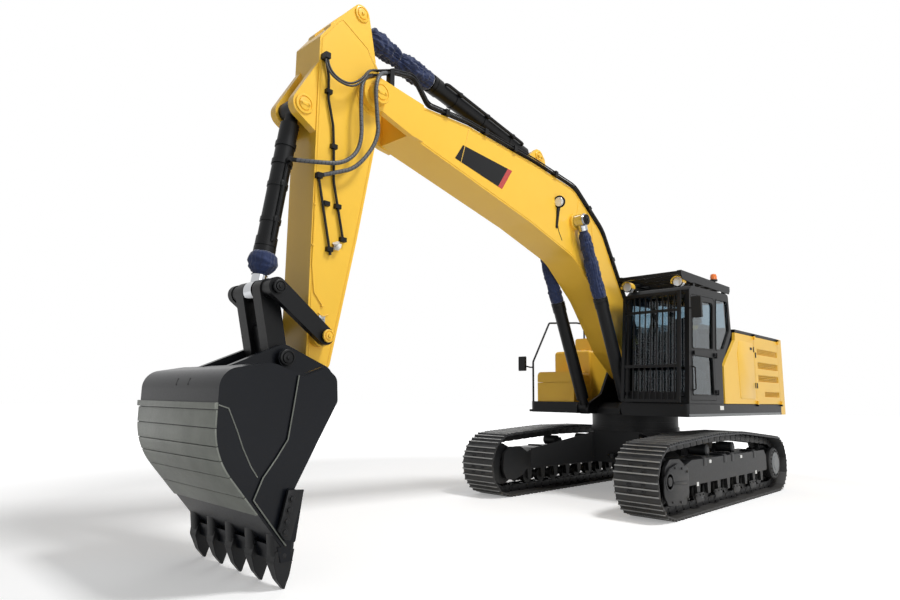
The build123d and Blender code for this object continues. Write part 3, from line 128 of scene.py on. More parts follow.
# share of the noise that patches cover, gloss between its low and high, metres over which dust thins out
surfaceLook = {"patches": {"From Min": 0.35, "From Max": 0.65}, "glossLow": 0.85, "glossHigh": 1.2,
               "bump": 0.6, "dust": {"From Min": 1.0, "From Max": 0.0, "To Max": 0.5}, "coatRough": 0.12}


# an empty material with its texture coordinates
def bareMaterial(name):
    made = bpy.data.materials.new(name)
    made.use_nodes = True
    made.node_tree.nodes.clear()
    return made, made.node_tree, addNode(made.node_tree, "ShaderNodeTexCoord")


# a mix of two colours by the first output of a node
def toneMix(tree, share, output, low, high):
    tone = addNode(tree, "ShaderNodeMix", links=[(share, output, "Factor")], data_type="RGBA")
    tone.inputs[6].default_value, tone.inputs[7].default_value = linear(low), linear(high)
    return tone


# paint, steel or plastic: patches of tone, a fine grain and its bump; dust gathers near the ground
def finish(name, base, dark=None, rough=0.45, metal=0.0, specular=0.5, grainSize=0.02, grainLift=0.0004,
           coat=0.0, spread=0.35, patchSize=0.6, dust=None, **shader):
    made, tree, place = bareMaterial(name)
    patches = addNode(tree, "ShaderNodeTexNoise", {"Scale": 1 / patchSize, "Detail": 6, "Roughness": 0.6},
                      [(place, "Object", "Vector")])
    grain = addNode(tree, "ShaderNodeTexNoise", {"Scale": 1 / grainSize, "Detail": 3},
                    [(place, "Object", "Vector")])
    share = addNode(tree, "ShaderNodeMapRange", {**surfaceLook["patches"], "To Max": spread},
                    [(patches, "Fac", "Value")])
    tone = toneMix(tree, share, 0, base, dark or base)
    if dust:
        height = addNode(tree, "ShaderNodeSeparateXYZ", links=[(place, "Object", 0)])
        low = addNode(tree, "ShaderNodeMapRange", surfaceLook["dust"], [(height, 2, "Value")])
        settled = addNode(tree, "ShaderNodeMath", links=[(low, 0, 0), (patches, "Fac", 1)],
                          operation="MULTIPLY")
        clean, tone = tone, toneMix(tree, settled, 0, dust, dust)
        tree.links.new(clean.outputs[2], tone.inputs[6])
    gloss = addNode(tree, "ShaderNodeMapRange", {"To Min": rough * surfaceLook["glossLow"],
                                                 "To Max": rough * surfaceLook["glossHigh"]},
                    [(grain, "Fac", "Value")])
    links = [(tone, 2, "Base Color"), (gloss, 0, "Roughness")]
    if grainLift:
        bump = addNode(tree, "ShaderNodeBump", {"Distance": grainLift, "Strength": surfaceLook["bump"]},
                       [(grain, "Fac", "Height")])
        links.append((bump, 0, "Normal"))
    surface = addNode(tree, "ShaderNodeBsdfPrincipled",
                      {"Metallic": metal, "Coat Weight": coat, "Coat Roughness": surfaceLook["coatRough"],
                       "Specular IOR Level": specular, **shader}, links)
    addNode(tree, "ShaderNodeOutputMaterial", links=[(surface, 0, "Surface")])
    return made


# sprayed enamel: an even warm yellow, with orange peel of 12 mm that breaks up its highlights
yellowEnamel = finish("sprayed yellow enamel", "#EEBE3E", "#E9B432", rough=0.36, coat=0.12, specular=0.35,
                      grainSize=0.012, grainLift=0.0003)
# satin black on cab, guards and cylinders: nearly no shine, so that edges read as thin grey lines
blackEnamel = finish("satin black enamel", "#0D0E10", "#08090A", rough=0.4, specular=0.2)
# thinner black on the track frames: a shade lighter, and brown with dust towards the ground
charcoalEnamel = finish("charcoal enamel", "#1B1D20", "#141518", rough=0.45, specular=0.25, dust="#4A463F")
# the bucket's own black: glossier, with broad soft patches
bucketEnamel = finish("black bucket enamel", "#0A0D13", "#07090D", rough=0.3, specular=0.2, patchSize=0.4)
# bare wear straps: dull grey steel, blotched, standing out from the black bucket
strapSteel = finish("worn strap steel", "#73766F", "#5C5F59", rough=0.42, metal=0.3, patchSize=0.3,
                    spread=0.7)
# shoes with rolling scale: dark grey with brown dust, patches of 0.15 m drawn coarser than they are
shoeSteel = finish("rolled shoe steel", "#3A3B3D", "#262729", rough=0.5, metal=0.3, specular=0.3,
                   patchSize=0.15, spread=0.8, dust="#5A554C")
# grouser crests rubbed bare: pale lines across the shoes
grouserSteel = finish("bright worn grouser steel", "#8C8C8A", "#6B6B69", rough=0.38, metal=0.6, patchSize=0.1)
# forged links and bolts under the shoes: nearly black, partly their own dark steel and partly painted shade
# of the shoes over them
chainSteelShaded = finish("forged chain steel with painted shade", "#19191A", "#101011", rough=0.5, metal=0.3, patchSize=0.1)
# cast teeth and cutters: black with a rough cast skin
toothSteel = finish("cast tooth steel", "#131416", "#0B0C0D", rough=0.4, specular=0.25, patchSize=0.1)
# hard chrome on the rods: a bright mirror
chrome = finish("hard chrome rod", "#B9BBBE", rough=0.12, metal=1.0, grainLift=0)
# zinc plating: pale and slightly cloudy
zincSteel = finish("zinc plated steel", "#A9ABAA", "#8C8E8D", rough=0.35, metal=0.8, patchSize=0.05)
# moulded plastic of hood and latches: matt black. The same black makes the louvre backs and the bucket's
# drain slot plates, painted shade for the dark inside those openings
blackPlastic = finish("moulded black plastic", "#0C0D0E", "#080809", rough=0.5, specular=0.25)
# blank plates: flat off-white
whitePaint = finish("flat white plate paint", "#E4E4E0", "#DADAD5", rough=0.5)
# trim along the deck and the drive covers: plain mid grey
greyEnamel = finish("grey trim enamel", "#6C6F70", "#5C5F60", rough=0.45)
seatVinyl = finish("seat vinyl", "#202225", rough=0.65)  # soft dark seat, no highlight
engineGrey = finish("grey engine paint", "#4A4C4E", "#3A3B3D", rough=0.5)  # dull grey in the dark bay
lensGlass = finish("lamp lens", "#DDE0E2", rough=0.12, metal=0.3)  # pale silvery lamp face
mirrorGlass = finish("silvered mirror glass", "#C8CCCE", rough=0.05, metal=1.0, grainLift=0)  # clear mirror
amberLens = finish("amber lens", "#E8750F", "#D0620A", rough=0.25, coat=0.5)  # glossy orange beacon
redLens = finish("red lens", "#B5221B", "#9E1A14", rough=0.25, coat=0.5)  # glossy deep red
# rubber hose: matt black with a fine skin
hoseRubber = finish("extruded hose rubber", "#121315", "#0C0D0E", rough=0.5, grainSize=0.008)
# tinted panes: clear with a pale blue cast
cabGlass = finish("tinted cab glass", "#A5B8C2", rough=0.03, grainLift=0,
                  **{"Transmission Weight": 1.0, "IOR": 1.45})

weaveLook = {"wear": {"Scale": 9.0, "Detail": 5}, "weave": {"Scale": 26.0, "Distortion": 1.0},
             "bump": {"Distance": 0.0008, "Strength": 0.5},
             "surface": {"Roughness": 0.85, "Sheen Weight": 0.45, "Sheen Roughness": 0.4}}


# woven cloth: worn lighter in patches, soft sheen at its edges, a weave drawn coarse enough to show
def wovenFinish(name, base, dark):
    made, tree, place = bareMaterial(name)
    worn = addNode(tree, "ShaderNodeTexNoise", weaveLook["wear"], [(place, "Object", "Vector")])
    weave = addNode(tree, "ShaderNodeTexWave", weaveLook["weave"], [(place, "Object", "Vector")])
    tone = toneMix(tree, worn, "Fac", dark, base)
    bump = addNode(tree, "ShaderNodeBump", weaveLook["bump"], [(weave, "Fac", "Height")])
    surface = addNode(tree, "ShaderNodeBsdfPrincipled", weaveLook["surface"],
                      [(tone, 2, "Base Color"), (bump, 0, "Normal")])
    addNode(tree, "ShaderNodeOutputMaterial", links=[(surface, 0, "Surface")])
    return made


navyCloth = wovenFinish("woven navy cover cloth", "#23345F", "#0E1830")
whiteCloth = wovenFinish("white wrapping cloth", "#E6E4DE", "#C9C7C1")

# turns of the guard along a hose, and how sharply its ribs stand up
spiralLook = {"turns": 44, "edge": {"From Min": 0.12, "From Max": 0.3},
              "bump": {"Distance": 0.004, "Strength": 0.8}, "surface": {"Roughness": 0.45}}


# hose in a moulded spiral guard: grey ribs winding over dark gaps, laid on the tube's own map
def spiralFinish(name, base, dark):
    made, tree, place = bareMaterial(name)
    parts = addNode(tree, "ShaderNodeSeparateXYZ", links=[(place, "UV", 0)])
    along = addNode(tree, "ShaderNodeMath", {1: spiralLook["turns"]}, [(parts, 0, 0)], operation="MULTIPLY")
    both = addNode(tree, "ShaderNodeMath", links=[(along, 0, 0), (parts, 1, 1)], operation="ADD")
    step = addNode(tree, "ShaderNodeMath", {1: 1.0}, [(both, 0, 0)], operation="FRACT")
    rib = addNode(tree, "ShaderNodeMath", {1: 1.0}, [(step, 0, 0)], operation="PINGPONG")
    edge = addNode(tree, "ShaderNodeMapRange", spiralLook["edge"], [(rib, 0, "Value")])
    tone = toneMix(tree, edge, 0, dark, base)
    bump = addNode(tree, "ShaderNodeBump", spiralLook["bump"], [(edge, 0, "Height")])
    surface = addNode(tree, "ShaderNodeBsdfPrincipled", spiralLook["surface"],
                      [(tone, 2, "Base Color"), (bump, 0, "Normal")])
    addNode(tree, "ShaderNodeOutputMaterial", links=[(surface, 0, "Surface")])
    return made


spiralGuard = spiralFinish("moulded spiral hose guard", "#4B4E52", "#17181A")

nodeFinish = {
    yellowEnamel: ["counterweight", "lifting_eyes", "left_front_door", "left_rear_door", "right_rear_door",
                   "fuel_tank", "hydraulic_tank", "toolbox", "toolbox_lid", "boom", "arm"],
    blackEnamel: ["centre_frame", "swing_bearing", "tow_eyes", "main_deck", "cab_shell", "cab_door",
                  "roof_guard", "front_guard", "handrails", "boom_cylinder_barrels", "arm_cylinder_barrel",
                  "bucket_cylinder_barrel", "rocker_arms", "bucket_link", "engine_bay", "cooling_pack",
                  "boom_pipes", "arm_pipes"],
    charcoalEnamel: ["track_frame_left", "track_frame_right", "final_drives", "track_rollers",
                     "carrier_rollers", "idlers"],
    shoeSteel: ["track_left", "track_right"],
    bucketEnamel: ["bucket"], toothSteel: ["bucket_teeth"],
    blackPlastic: ["engine_hood", "mirrors", "cab_controls"], seatVinyl: ["seat"], engineGrey: ["engine"],
    chrome: ["boom_cylinder_rods", "arm_cylinder_rod", "bucket_cylinder_rod"],
    navyCloth: ["boom_rod_covers", "arm_rod_cover", "bucket_rod_cover"],
    hoseRubber: ["bucket_hose_front", "bucket_hose_rear", "arm_hose_upper", "arm_hose_lower"],
    lensGlass: ["cab_lamps"], amberLens: ["beacon"], cabGlass: ["cab_glass", "door_glass"]}
for made, names in nodeFinish.items():
    for name in names:
        nodes[name].data.materials.clear()
        nodes[name].data.materials.append(made)

print("tools for the pieces")
edgeLook = {"segments": 2, "bevelOver": 40, "smoothUnder": 35}  # bevel segments, angles in degrees


# machine millimetres from the swing axis, turned into scene metres
def at(x, y, z):
    return Vector((x / 1000 + frameShift, y / 1000, z / 1000))


def fresh():
    bpy.ops.object.select_all(action="DESELECT")


# settles the piece into its mesh, rounds its sharp edges by bevel millimetres and shades it smooth
def shaped(piece, bevel=0.0):
    bpy.ops.object.transform_apply(location=True, rotation=True, scale=True)
    if bevel:
        edge = piece.modifiers.new("edge", "BEVEL")
        edge.width, edge.segments = bevel / 1000, edgeLook["segments"]
        edge.limit_method, edge.angle_limit = "ANGLE", radians(edgeLook["bevelOver"])
        edge.harden_normals = False
        bpy.ops.object.modifier_apply(modifier="edge")
    bpy.ops.object.shade_smooth_by_angle(angle=radians(edgeLook["smoothUnder"]))
    return piece


def block(xs, ys, zs, bevel=3):
    fresh()
    middle = at(*[(low + high) / 2 for low, high in (xs, ys, zs)])
    bpy.ops.mesh.primitive_cube_add(size=1, location=middle)
    piece = bpy.context.object
    piece.scale = [abs(high - low) / 1000 for low, high in (xs, ys, zs)]
    return shaped(piece, bevel)


# round or hexagonal bar between two points of the machine
def bar(start, end, radius, vertices=24, bevel=0.0):
    fresh()
    first, last = at(*start), at(*end)
    bpy.ops.mesh.primitive_cone_add(vertices=vertices, radius1=radius / 1000, radius2=radius / 1000,
                                    depth=(last - first).length, location=(first + last) / 2)
    piece = bpy.context.object
    piece.rotation_euler = (last - first).to_track_quat("Z", "Y").to_euler()
    return shaped(piece, bevel)


# hexagon bolt heads on a side face, at (x, z) places, from y low to y high
def bolts(places, low, high, radius, bevel=1):
    return [bar((x, low, z), (x, high, z), radius, 6, bevel) for x, z in places]


# corner points of an outline whose rows are (a, b) or (a, b, corner radius)
def rounded(rows, closed=True):
    points = []
    for n, row in enumerate(rows):
        corner = Vector(row[:2])
        radius = row[2] if len(row) > 2 else 0
        if not radius or (not closed and n in (0, len(rows) - 1)):
            points.append(corner)
            continue
        back = (Vector(rows[n - 1][:2]) - corner).normalized()
        ahead = (Vector(rows[(n + 1) % len(rows)][:2]) - corner).normalized()
        half = back.angle(ahead) / 2
        centre = corner + (back + ahead).normalized() * radius / sin(half)
        first = corner + back * radius / tan(half) - centre
        last = corner + ahead * radius / tan(half) - centre
        start = atan2(first.y, first.x)
        sweep = (atan2(last.y, last.x) - start + pi) % (2 * pi) - pi
        steps = max(3, min(14, int(radius / 12)))
        turns = [start + sweep * k / steps for k in range(steps + 1)]
        points += [centre + radius * Vector((cos(turn), sin(turn))) for turn in turns]
    return points


planes = {"xz": lambda a, b, c: (a, c, b), "yz": lambda a, b, c: (c, a, b), "xy": lambda a, b, c: (a, b, c)}


# flat plate: a circle's points pulled to the outline, then extruded
def plate(rows, low, high, plane="xz", bevel=3.0):
    points = rounded(rows)
    fresh()
    bpy.ops.mesh.primitive_circle_add(vertices=len(points), radius=1, fill_type="NGON")
    piece = bpy.context.object
    for vertex, (a, b) in zip(piece.data.vertices, points):
        vertex.co = at(*planes[plane](a, b, low))
    bpy.ops.object.mode_set(mode="EDIT")
    bpy.ops.mesh.select_all(action="SELECT")
    step = at(*planes[plane](0, 0, high)) - at(*planes[plane](0, 0, low))
    bpy.ops.mesh.extrude_region_move(TRANSFORM_OT_translate={"value": step})
    bpy.ops.mesh.select_all(action="SELECT")
    bpy.ops.mesh.normals_make_consistent(inside=False)
    bpy.ops.object.mode_set(mode="OBJECT")
    return shaped(piece, bevel)


# turned piece from stations (distance from start, radius): a circle extruded and sized station by station
def turned(start, end, stations, vertices=40, capped=True):
    fresh()
    first, last = at(*start), at(*end)
    bpy.ops.mesh.primitive_circle_add(vertices=vertices, radius=stations[0][1] / 1000,
                                      fill_type="NGON" if capped else "NOTHING")
    piece = bpy.context.object
    bpy.ops.object.mode_set(mode="EDIT")
    bpy.ops.mesh.select_all(action="SELECT")
    for before, after in zip(stations, stations[1:]):
        rise = (after[0] - before[0]) / 1000
        bpy.ops.mesh.extrude_region_move(TRANSFORM_OT_translate={"value": (0, 0, rise)})
        size = after[1] / before[1]
        bpy.ops.transform.resize(value=(size, size, 1), center_override=(0, 0, 0))
    bpy.ops.mesh.select_all(action="SELECT")
    bpy.ops.mesh.normals_make_consistent(inside=False)
    bpy.ops.object.mode_set(mode="OBJECT")
    way = (last - first).normalized()
    piece.rotation_euler = way.to_track_quat("Z", "Y").to_euler()
    piece.location = first + way * stations[0][0] / 1000
    return shaped(piece)


# new curve object with one spline through points in scene metres
def lineThrough(points, kind):
    fresh()
    bpy.ops.curve.primitive_nurbs_path_add()
    piece = bpy.context.object
    piece.data.splines.clear()
    spline = piece.data.splines.new(kind)
    spline.points.add(len(points) - 1)
    for point, place in zip(spline.points, points):
        point.co = (*place, 1)
    return piece, spline


# thin round wire, weld bead or pipe along machine points
def bead(points, radius, sides=8):
    piece, spline = lineThrough([at(*place) for place in points], "POLY")
    piece.data.bevel_depth, piece.data.bevel_resolution = radius / 1000, max(0, sides // 4 - 1)
    piece.data.use_fill_caps = True
    bpy.ops.object.convert(target="MESH")
    return shaped(bpy.context.object)


# a copy of the piece with its own mesh, moved by a matrix
def moved(piece, move):
    twin = piece.copy()
    twin.data = piece.data.copy()
    twin.data.transform(move)
    bpy.context.collection.objects.link(twin)
    return twin


# the pieces with their mirror images across the machine's middle plane
def mirrored(pieces):
    twins = [moved(piece, Matrix.Diagonal((1, -1, 1, 1))) for piece in pieces]
    for twin in twins:
        twin.data.flip_normals()
    return [*pieces, *twins]


def joined(pieces):
    fresh()
    for piece in pieces:
        piece.select_set(True)
    bpy.context.view_layer.objects.active = pieces[0]
    if len(pieces) > 1:
        bpy.ops.object.join()
    return bpy.context.object


# joins the pieces into one named piece that moves with a body, and stands for the CAD nodes named last
def assemble(name, made, body, pieces, *stands):
    for piece in pieces:
        if not piece.data.materials:
            piece.data.materials.append(made)
    piece = joined(pieces)
    piece.name = piece.data.name = name
    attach(piece, body)
    if stands:
        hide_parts(*stands)


print("hoses")
# fittings: how far in from each route end the hose begins; route in machine millimetres, boom end first
hoses = {
    "bucket_hose_front": {
        "radius": 21, "guard": spiralGuard, "fittings": (30, 60),
        "route": [(6010, 243, 4868), (6190, 300, 4765), (6225, 335, 4444), (6190, 345, 3990),
                  (6390, 345, 3745), (6680, 290, 3690), (6883, 140, 3701)]},
    "bucket_hose_rear": {
        "radius": 21, "guard": spiralGuard, "fittings": (30, 50),
        "route": [(5840, 278, 4950), (6010, 365, 4862), (6090, 398, 4650), (6060, 400, 4380),
                  (6010, 385, 4110), (6245, 350, 3740), (6480, 290, 3640), (6622, 241, 3585)]},
    "arm_hose_upper": {
        "radius": 11, "guard": hoseRubber, "fittings": (20, 20),
        "route": [(5950, 243, 4940), (6060, 278, 4898), (6142, 325, 4830), (6225, 355, 4710),
                  (6360, 348, 4590), (6500, 325, 4600), (6600, 298, 4690), (6608, 285, 4792)]},
    "arm_hose_lower": {
        "radius": 11, "guard": hoseRubber, "fittings": (20, 20),
        "route": [(5985, 278, 4925), (6080, 318, 4875), (6158, 362, 4805), (6232, 395, 4680),
                  (6355, 380, 4548), (6520, 348, 4560), (6632, 302, 4670), (6634, 285, 4792)]}}
for name, settings in hoses.items():
    points = [at(*place) for place in settings["route"]]
    first, last = settings["fittings"]
    points[0] += (points[1] - points[0]).normalized() * first / 1000
    points[-1] += (points[-2] - points[-1]).normalized() * last / 1000
    hose, spline = lineThrough(points, "NURBS")
    hose.name = hose.data.name = name + "_tube"
    spline.order_u, spline.use_endpoint_u = 3, True
    hose.data.resolution_u = 24
    bpy.context.view_layer.update()
    line = bpy.data.meshes.new_from_object(hose)
    radius = settings["radius"] / 1000
    hose.data.bevel_depth, hose.data.bevel_resolution, hose.data.use_fill_caps = radius, 5, True
    bpy.ops.object.convert(target="MESH")
    hose = shaped(bpy.context.object)
    hose.data.materials.clear()
    hose.data.materials.append(settings["guard"])
    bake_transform(hose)
    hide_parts(name)

print("cloth covers")
# base and eye pins (x, z), plane y, rod radius, rows of (distance from base, radius), depth of the folds
boomCover = {"base": (930, 1360), "eye": (2160, 4080), "rod": 54, "fold": 16,
             "rows": ((1797, 88), (1815, 101), (1900, 104), (2100, 98), (2300, 104), (2480, 86), (2600, 94),
                      (2760, 84), (2810, 62), (2832, 70)),
             "bodies": ("boom_barrels", "boom_rods"), "stands": "boom_rod_covers"}
clothCovers = {
    "boom_cover_left": {**boomCover, "y": 376, "seed": 3},
    "boom_cover_right": {**boomCover, "y": -376, "seed": 7},
    "arm_cover": {"base": (2900, 4900), "eye": (6150, 5530), "y": 0, "rod": 58, "fold": 26, "seed": 11,
                  "rows": ((2072, 98), (2100, 116), (2200, 126), (2380, 130), (2520, 118), (2590, 84),
                           (2640, 104), (2800, 122), (2960, 124), (3040, 112), (3075, 70), (3100, 76),
                           (3158, 108)),
                  "bodies": ("arm_barrel", "arm_rod"), "stands": "arm_rod_cover"},
    "bucket_cover": {"base": (6800, 4270), "eye": (7070, 2420), "y": 0, "rod": 52, "fold": 20, "seed": 17,
                     "rows": ((1502, 104), (1530, 128), (1580, 136), (1640, 124), (1690, 92), (1705, 62),
                              (1717, 78)),
                     "bodies": ("bucket_barrel", "bucket_rod"), "stands": "bucket_rod_cover"}}
# threads round and row height, length over which folds die out at the ends, wall, slack along the rod
clothWeave = {"around": 96, "rowHeight": 9, "tieLength": 120, "wall": 0.0015, "slack": 1.12}
# folds: waves round the cover, length of one along it, how sharp-backed, and the share of each in a crease
clothFolds = {"long": {"waves": 3.1, "length": 260, "sharp": 2.4, "share": 0.6},
              "fine": {"waves": 7.3, "length": 95, "sharp": 2.2, "share": 0.3},
              "cross": {"waves": 1.7, "length": 38, "share": 0.3, "loose": 0.5},
              "offset": 0.45, "tied": 0.45, "loose": 0.55, "pulledIn": 0.2, "sag": 0.5}


# radius of the smooth cover at a distance, eased between its rows
def coverRadius(rows, place):
    low = max(k for k in range(len(rows) - 1) if rows[k][0] <= place + 1e-6)
    part = min(1, (place - rows[low][0]) / (rows[low + 1][0] - rows[low][0]))
    part = part * part * (3 - 2 * part)
    return rows[low][1] + part * (rows[low + 1][1] - rows[low][1])


# one kind of fold, as noise that winds round the cover
def foldNoise(kind, turn, place, shift):
    waves = clothFolds[kind]["waves"]
    return noise.noise(Vector((cos(turn) * waves, sin(turn) * waves,
                               place / clothFolds[kind]["length"] + shift)))


# height of the crease at a place; loose is 0 where the cover is tied and 1 away from its ends
def creaseAt(turn, place, loose, seed):
    long, fine, cross = clothFolds["long"], clothFolds["fine"], clothFolds["cross"]
    return ((1 - abs(foldNoise("long", turn, place, seed)) * long["sharp"]) * long["share"]
            + (1 - abs(foldNoise("fine", turn, place, -seed)) * fine["sharp"]) * fine["share"]
            + foldNoise("cross", turn, place, 5 * seed) * (cross["share"] + cross["loose"] * loose)
            - clothFolds["offset"])


for name, cover in clothCovers.items():
    rows, fold, seed = cover["rows"], cover["fold"], cover["seed"]
    begin, end = rows[0][0], rows[-1][0]
    fresh()
    bpy.ops.mesh.primitive_grid_add(x_subdivisions=clothWeave["around"], size=1,
                                    y_subdivisions=int((end - begin) / clothWeave["rowHeight"]))
    cloth = bpy.context.object
    start, stop = [at(cover[pin][0], cover["y"], cover[pin][1]) for pin in ("base", "eye")]
    way = (stop - start).normalized()
    side = Vector((0, 1, 0))
    up = way.cross(side) if way.cross(side).z > 0 else -way.cross(side)
    for vertex in cloth.data.vertices:
        turn = (vertex.co.x + 0.5) * 2 * pi
        place = begin + (vertex.co.y + 0.5) * (end - begin)
        loose = min(1.0, min(place - begin, end - place) / clothWeave["tieLength"])
        crease = creaseAt(turn, place, loose, seed) * (clothFolds["tied"] + clothFolds["loose"] * loose)
        radius = coverRadius(rows, place) + fold * crease - fold * clothFolds["pulledIn"]
        radius = max(cover["rod"] + 2, radius)
        sag = up * (-fold * clothFolds["sag"] * loose / 1000)
        vertex.co = start + way * place / 1000 + (side * cos(turn) + up * sin(turn)) * radius / 1000 + sag
    bpy.ops.object.mode_set(mode="EDIT")
    bpy.ops.mesh.select_all(action="SELECT")
    bpy.ops.mesh.remove_doubles(threshold=0.0001)
    bpy.ops.mesh.normals_make_consistent(inside=False)
    bpy.ops.object.mode_set(mode="OBJECT")
    wall = cloth.modifiers.new("wall", "SOLIDIFY")
    wall.thickness, wall.offset = clothWeave["wall"], -1
    bpy.ops.object.modifier_apply(modifier="wall")
    bpy.ops.object.shade_smooth()
    cloth.name = cloth.data.name = name
    cloth.data.materials.append(navyCloth)
    ends = [start + way * place / 1000 for place in (begin, end)]
    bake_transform(cloth)
    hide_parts(cover["stands"])

print("tracks")
# wheels as (x, z, radius of the pin line)
trackSettings = {"gauge": 2590, "pitches": 49, "idler": (2065, 480, 374),
                 "carriers": ((560, 790, 145), (-440, 790, 145)), "sprocket": (-2035, 458, 352)}


# count points at one pitch along a belt wrapped anticlockwise round circles of (x, z, radius)
def beltPoints(circles, count):
    line = []
    turns = []
    for n, (x, z, radius) in enumerate(circles):
        x2, z2, radius2 = circles[(n + 1) % len(circles)]
        reach = hypot(x2 - x, z2 - z)
        turns.append(atan2(z2 - z, x2 - x) - pi / 2 + atan2(radius - radius2, reach))
    for n, (x, z, radius) in enumerate(circles):
        first, last = turns[n - 1], turns[n]
        while last < first - 1e-9:
            last += 2 * pi
        arc = [first + k / 200 * (last - first) for k in range(201)]
        line += [(x + radius * cos(turn), z + radius * sin(turn)) for turn in arc]
    line.append(line[0])
    steps = [hypot(b[0] - a[0], b[1] - a[1]) for a, b in zip(line, line[1:])]
    pitch, points, done, wanted = sum(steps) / count, [], 0.0, 0.0
    for (a, b), step in zip(zip(line, line[1:]), steps):
        while wanted < done + step and len(points) < count:
            part = (wanted - done) / step
            points.append((a[0] + part * (b[0] - a[0]), a[1] + part * (b[1] - a[1])))
            wanted += pitch
        done += step
    return points, pitch


pinPoints, pitch = beltPoints([trackSettings["idler"], *trackSettings["carriers"], trackSettings["sprocket"]],
                              trackSettings["pitches"])
# one link lies along X from its pin at z 0: grousers and bolts at shares of the pitch, rails on both sides
shoeSettings = {"width": 600, "grouser": ((17, 82), (9, 106), (-7, 106), (-15, 82)),
                "shares": (0.87, 0.48, 0.09), "crestOver": 0.1015, "boltShares": (0.285, 0.675),
                "boltSides": (-112, -78, 78, 112), "boltHigh": (80, 92), "boltRadius": 15, "railMiddle": 95,
                "railHalf": 20, "bossRadius": 24, "bossOut": (110, 120), "bushRadius": 33, "bushHalf": 74}
ribs = [(share * pitch + dx, z) for share in shoeSettings["shares"] for dx, z in shoeSettings["grouser"]]
# the shoe's lip reaches under the next one, past the pitch and back to -34
shoeEdge = [(pitch + 14, 66), (pitch + 16, 72), (pitch - 6, 82), *ribs, (0, 72), (-30, 66), (-34, 60),
            (4, 64)]
shoe = plate(shoeEdge, -shoeSettings["width"] / 2, shoeSettings["width"] / 2, bevel=2)
shoe.data.materials.append(shoeSteel)
shoe.data.materials.append(grouserSteel)
for face in shoe.data.polygons:
    if min(shoe.data.vertices[v].co.z for v in face.vertices) > shoeSettings["crestOver"]:
        face.material_index = 1
low, high = shoeSettings["boltHigh"]
chain = [bar((share * pitch, y, low), (share * pitch, y, high), shoeSettings["boltRadius"], 6)
         for share in shoeSettings["boltShares"] for y in shoeSettings["boltSides"]]
railEdge = [(-34, -30, 28), (-34, 34, 28), (14, 40, 12), (30, 66), (pitch - 30, 66), (pitch - 24, 20, 20),
            (pitch - 30, -44, 20), (30, -44, 20)]
half, (inner, outer) = shoeSettings["railHalf"], shoeSettings["bossOut"]
for side in (-1, 1):
    middle = side * shoeSettings["railMiddle"]
    chain.append(plate(railEdge, middle - half, middle + half))
    chain.append(bar((0, side * outer, 0), (0, side * inner, 0), shoeSettings["bossRadius"], 16))
bush = shoeSettings["bushHalf"]
chain.append(bar((0, -bush, 0), (0, bush, 0), shoeSettings["bushRadius"], 16))
# links, bolts and bushes take the near-black steel, which holds painted shade from the shoes
for piece in chain:
    piece.data.materials.append(chainSteelShaded)
link = joined([shoe, *chain])
link.data.transform(Matrix.Translation((-frameShift, 0, 0)))
for name, sign in (("left", 1), ("right", -1)):
    links = []
    for n, (x, z) in enumerate(pinPoints):
        x2, z2 = pinPoints[(n + 1) % len(pinPoints)]
        run = Vector((x2 - x, 0, z2 - z)).normalized()
        outward = Vector((run.z, 0, -run.x))
        across = outward.cross(run)
        place = at(x, sign * trackSettings["gauge"] / 2, z)
        rows = [(run[k], across[k], outward[k], place[k]) for k in range(3)]
        links.append(moved(link, Matrix([*rows, (0, 0, 0, 1)])))
    assemble(f"track_chain_{name}", shoeSteel, "undercarriage", links, f"track_{name}")
bpy.data.objects.remove(link)

print("bucket")
# wrap: outside of the shell from the lip round the back; bands: start, end and thickness of each wear strap
bucketShell = {"wrap": [(7080, 270, 0), (7725, 1047, 600), (7725, 1665, 160), (7300, 1745, 300),
                        (6720, 1500, 0)],
               "bands": ((420, 596, 12), (602, 797, 12), (803, 939, 12), (945, 1051, 12), (1057, 1183, 12),
                         (1189, 1317, 12), (1323, 1372, 26)), "half": 743,
               "drains": {"sides": (-24, 198), "along": (1500, 1560), "half": 14}}
shell = rounded(bucketShell["wrap"], closed=False)
reaches = [0]
for a, b in zip(shell, shell[1:]):
    reaches.append(reaches[-1] + (b - a).length)


# point of the bucket's shell at a distance along it from the lip, lifted outward
def onShell(reach, out):
    k = max(n for n in range(len(shell) - 1) if reaches[n] <= reach)
    run = (shell[k + 1] - shell[k]).normalized()
    point = shell[k] + run * (reach - reaches[k])
    return (point.x + run.y * out, point.y - run.x * out)


straps = []
for first, last, thick in bucketShell["bands"]:
    steps = [first + (last - first) * k / 5 for k in range(6)]
    rows = [onShell(s, thick) for s in steps] + [onShell(s, -2) for s in reversed(steps)]
    straps.append(plate(rows, -bucketShell["half"], bucketShell["half"], bevel=2))
assemble("bucket_wear_straps", strapSteel, "bucket", straps)
drains = bucketShell["drains"]
begin, end = drains["along"]
# the drain slots are thin matt black plates on the shell, not holes: painted shade for the dark inside the
# openings
edge = [onShell(begin, 3), onShell(end, 3), onShell(end, -4), onShell(begin, -4)]
slotShade = [plate(edge, y - drains["half"], y + drains["half"], bevel=1) for y in drains["sides"]]
assemble("bucket_drain_slot_shade", blackPlastic, "bucket", slotShade)

# weld beads on the side plates, as (x, z) rows: round the cutting edge's plate, and over the rear doubler
bucketWelds = {
    "front": {"y": 754, "radius": 6, "rows": ((7058, 1648), (7092, 1400), (7130, 1142), (7225, 1000),
                                              (7330, 862), (7398, 704), (7250, 520), (7100, 338))},
    "rear": {"y": 741, "radius": 5, "rows": ((7722, 1410), (7640, 1385), (7560, 1220), (7505, 1090),
                                             (7430, 950), (7370, 868))}}
welds = [bead([(x, weld["y"], z) for x, z in weld["rows"]], weld["radius"]) for weld in bucketWelds.values()]
assemble("bucket_welds", strapSteel, "bucket", mirrored(welds))

